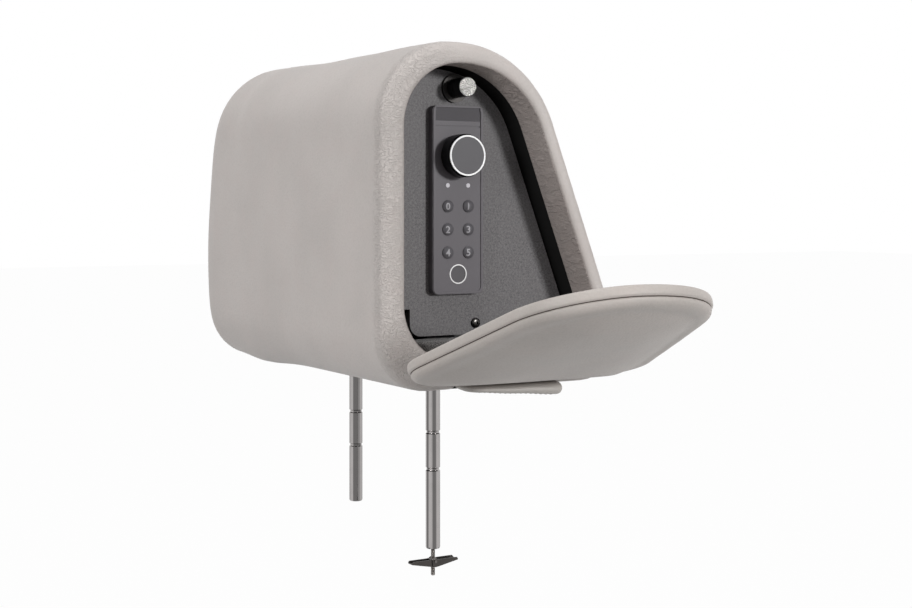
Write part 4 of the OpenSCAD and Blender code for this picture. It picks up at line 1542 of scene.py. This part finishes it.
@dataclass
class Studio:
    """Camera of the photograph, white surroundings and soft lamps."""

    place: Point = (0.9565, -0.4933, 0.115)
    ahead: tuple[float, float] = (-0.8686, 0.4955)
    rise: float = -0.1085
    lens: float = 59.21
    floor_z: float = -0.42
    floor_size: float = 12.0
    floor_tone: Color = (0.45, 0.45, 0.45)
    shown: float = 0.98
    light: float = 0.22
    target: Point = (0.05, 0.0, 0.1)

    def camera(self) -> None:
        """Makes the camera."""
        data = bpy.data.cameras.new("studio_camera")
        data.sensor_width = 36.0
        data.lens = self.lens
        data.clip_start, data.clip_end = 0.05, 50.0
        data.dof.use_dof = False
        data.shift_y = self.rise
        obj = bpy.data.objects.new("studio_camera", data)
        self.aim(obj, self.place, Vector((*self.ahead, 0.0)))
        bpy.context.scene.camera = obj

    def aim(self, obj: bpy.types.Object, place: Point, look: Vector) -> None:
        """Puts the camera or a lamp into the scene, looking along a direction.

        Args:
            obj: The camera or lamp.
            place: Where it stands.
            look: The direction.
        """
        obj.location = place
        obj.rotation_mode = "QUATERNION"
        obj.rotation_quaternion = look.to_track_quat("-Z", "Y")
        bpy.context.scene.collection.objects.link(obj)

    def floor(self) -> None:
        """Makes a wide pale floor that the camera sees as near white."""
        mesh = bpy.data.meshes.new("studio_floor")
        bm = bmesh.new()
        bmesh.ops.create_grid(bm, x_segments=1, y_segments=1, size=self.floor_size)
        bm.to_mesh(mesh)
        bm.free()
        obj = bpy.data.objects.new("studio_floor", mesh)
        obj.location = (0, 0, self.floor_z)
        bpy.context.scene.collection.objects.link(obj)
        g = Graph("floor_white")
        g.set(Base_Color=self.floor_tone, Roughness=0.9, Specular_IOR_Level=0.0)
        glow = g.node("ShaderNodeEmission", {}, {"Color": (1.0, 1.0, 1.0), "Strength": 1.0})
        mixed = g.node("ShaderNodeMixShader", {}, {0: g.seen() * self.shown, 1: g.surface, 2: glow})
        g.feed(g.output.inputs["Surface"], mixed)
        mesh.materials.append(g.material)
        obj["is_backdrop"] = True

    def world(self) -> None:
        """Makes the white surroundings, which light the object less than they show."""
        world = bpy.data.worlds.new("studio_white")
        bpy.context.scene.world = world
        tree = Tree(world)
        low = tree.node("ShaderNodeBackground", {}, {"Color": (0.97, 0.98, 1.0), "Strength": self.light})
        high = tree.node("ShaderNodeBackground", {}, {"Color": (1.0, 1.0, 1.0), "Strength": 1.0})
        mixed = tree.node("ShaderNodeMixShader", {}, {0: tree.seen(), 1: low, 2: high})
        tree.add("ShaderNodeOutputWorld", {}, {"Surface": mixed})

    def lamp(self, name: str, place: Point, size: float, power: float) -> None:
        """Makes one soft square lamp that points at the object.

        Args:
            name: Name of the lamp.
            place: Where it hangs.
            size: Length of its side.
            power: Its power.
        """
        data = bpy.data.lights.new(name, "AREA")
        data.shape = "SQUARE"
        data.size = size
        data.energy = power
        obj = bpy.data.objects.new(name, data)
        self.aim(obj, place, Vector(self.target) - Vector(place))

    def build(self) -> None:
        """Makes camera, floor, surroundings and lamps."""
        self.camera()
        self.floor()
        self.world()
        self.lamp("key_low_right", (2.53, 0.9, 0.53), 0.34, 40.0)
        self.lamp("key_left_side", (0.9, -2.2, 0.62), 0.5, 23.0)
        self.lamp("fill_above", (0.5, -0.2, 2.4), 1.6, 27.0)
        self.lamp("fill_left", (-0.9, -2.4, 0.8), 1.2, 8.0)
        bpy.context.scene.view_settings.view_transform = "Standard"
        LOG.info("studio: camera, floor and four lamps")


def dress_solids(nodes: dict[str, bpy.types.Object]) -> None:
    """Gives each solid that stays its finish.

    Args:
        nodes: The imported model's objects by name.
    """
    for name, finish in CAD_FINISH.items():
        mesh = nodes[name].data
        mesh.materials.clear()
        mesh.materials.append(finish.made())
        LOG.info("solid %s: %s", name, finish.name)


def corners() -> list[list[float]]:
    """Lowest and highest corner of what is shown, as plain numbers."""
    return [[float(v) for v in corner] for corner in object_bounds()]


def main() -> None:
    """Builds the whole scene in order."""
    logging.basicConfig(level=logging.INFO, format="%(name)s: %(message)s")
    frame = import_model()
    Studio().build()
    dress_solids(frame["nodes"])
    for part in (PaddedBody(), Flap(), Underside(), FeltWork(), KeypadMarks(), ToggleRod()):
        part.build()
    bpy.context.view_layer.update()


if __name__ == "__main__":
    main()
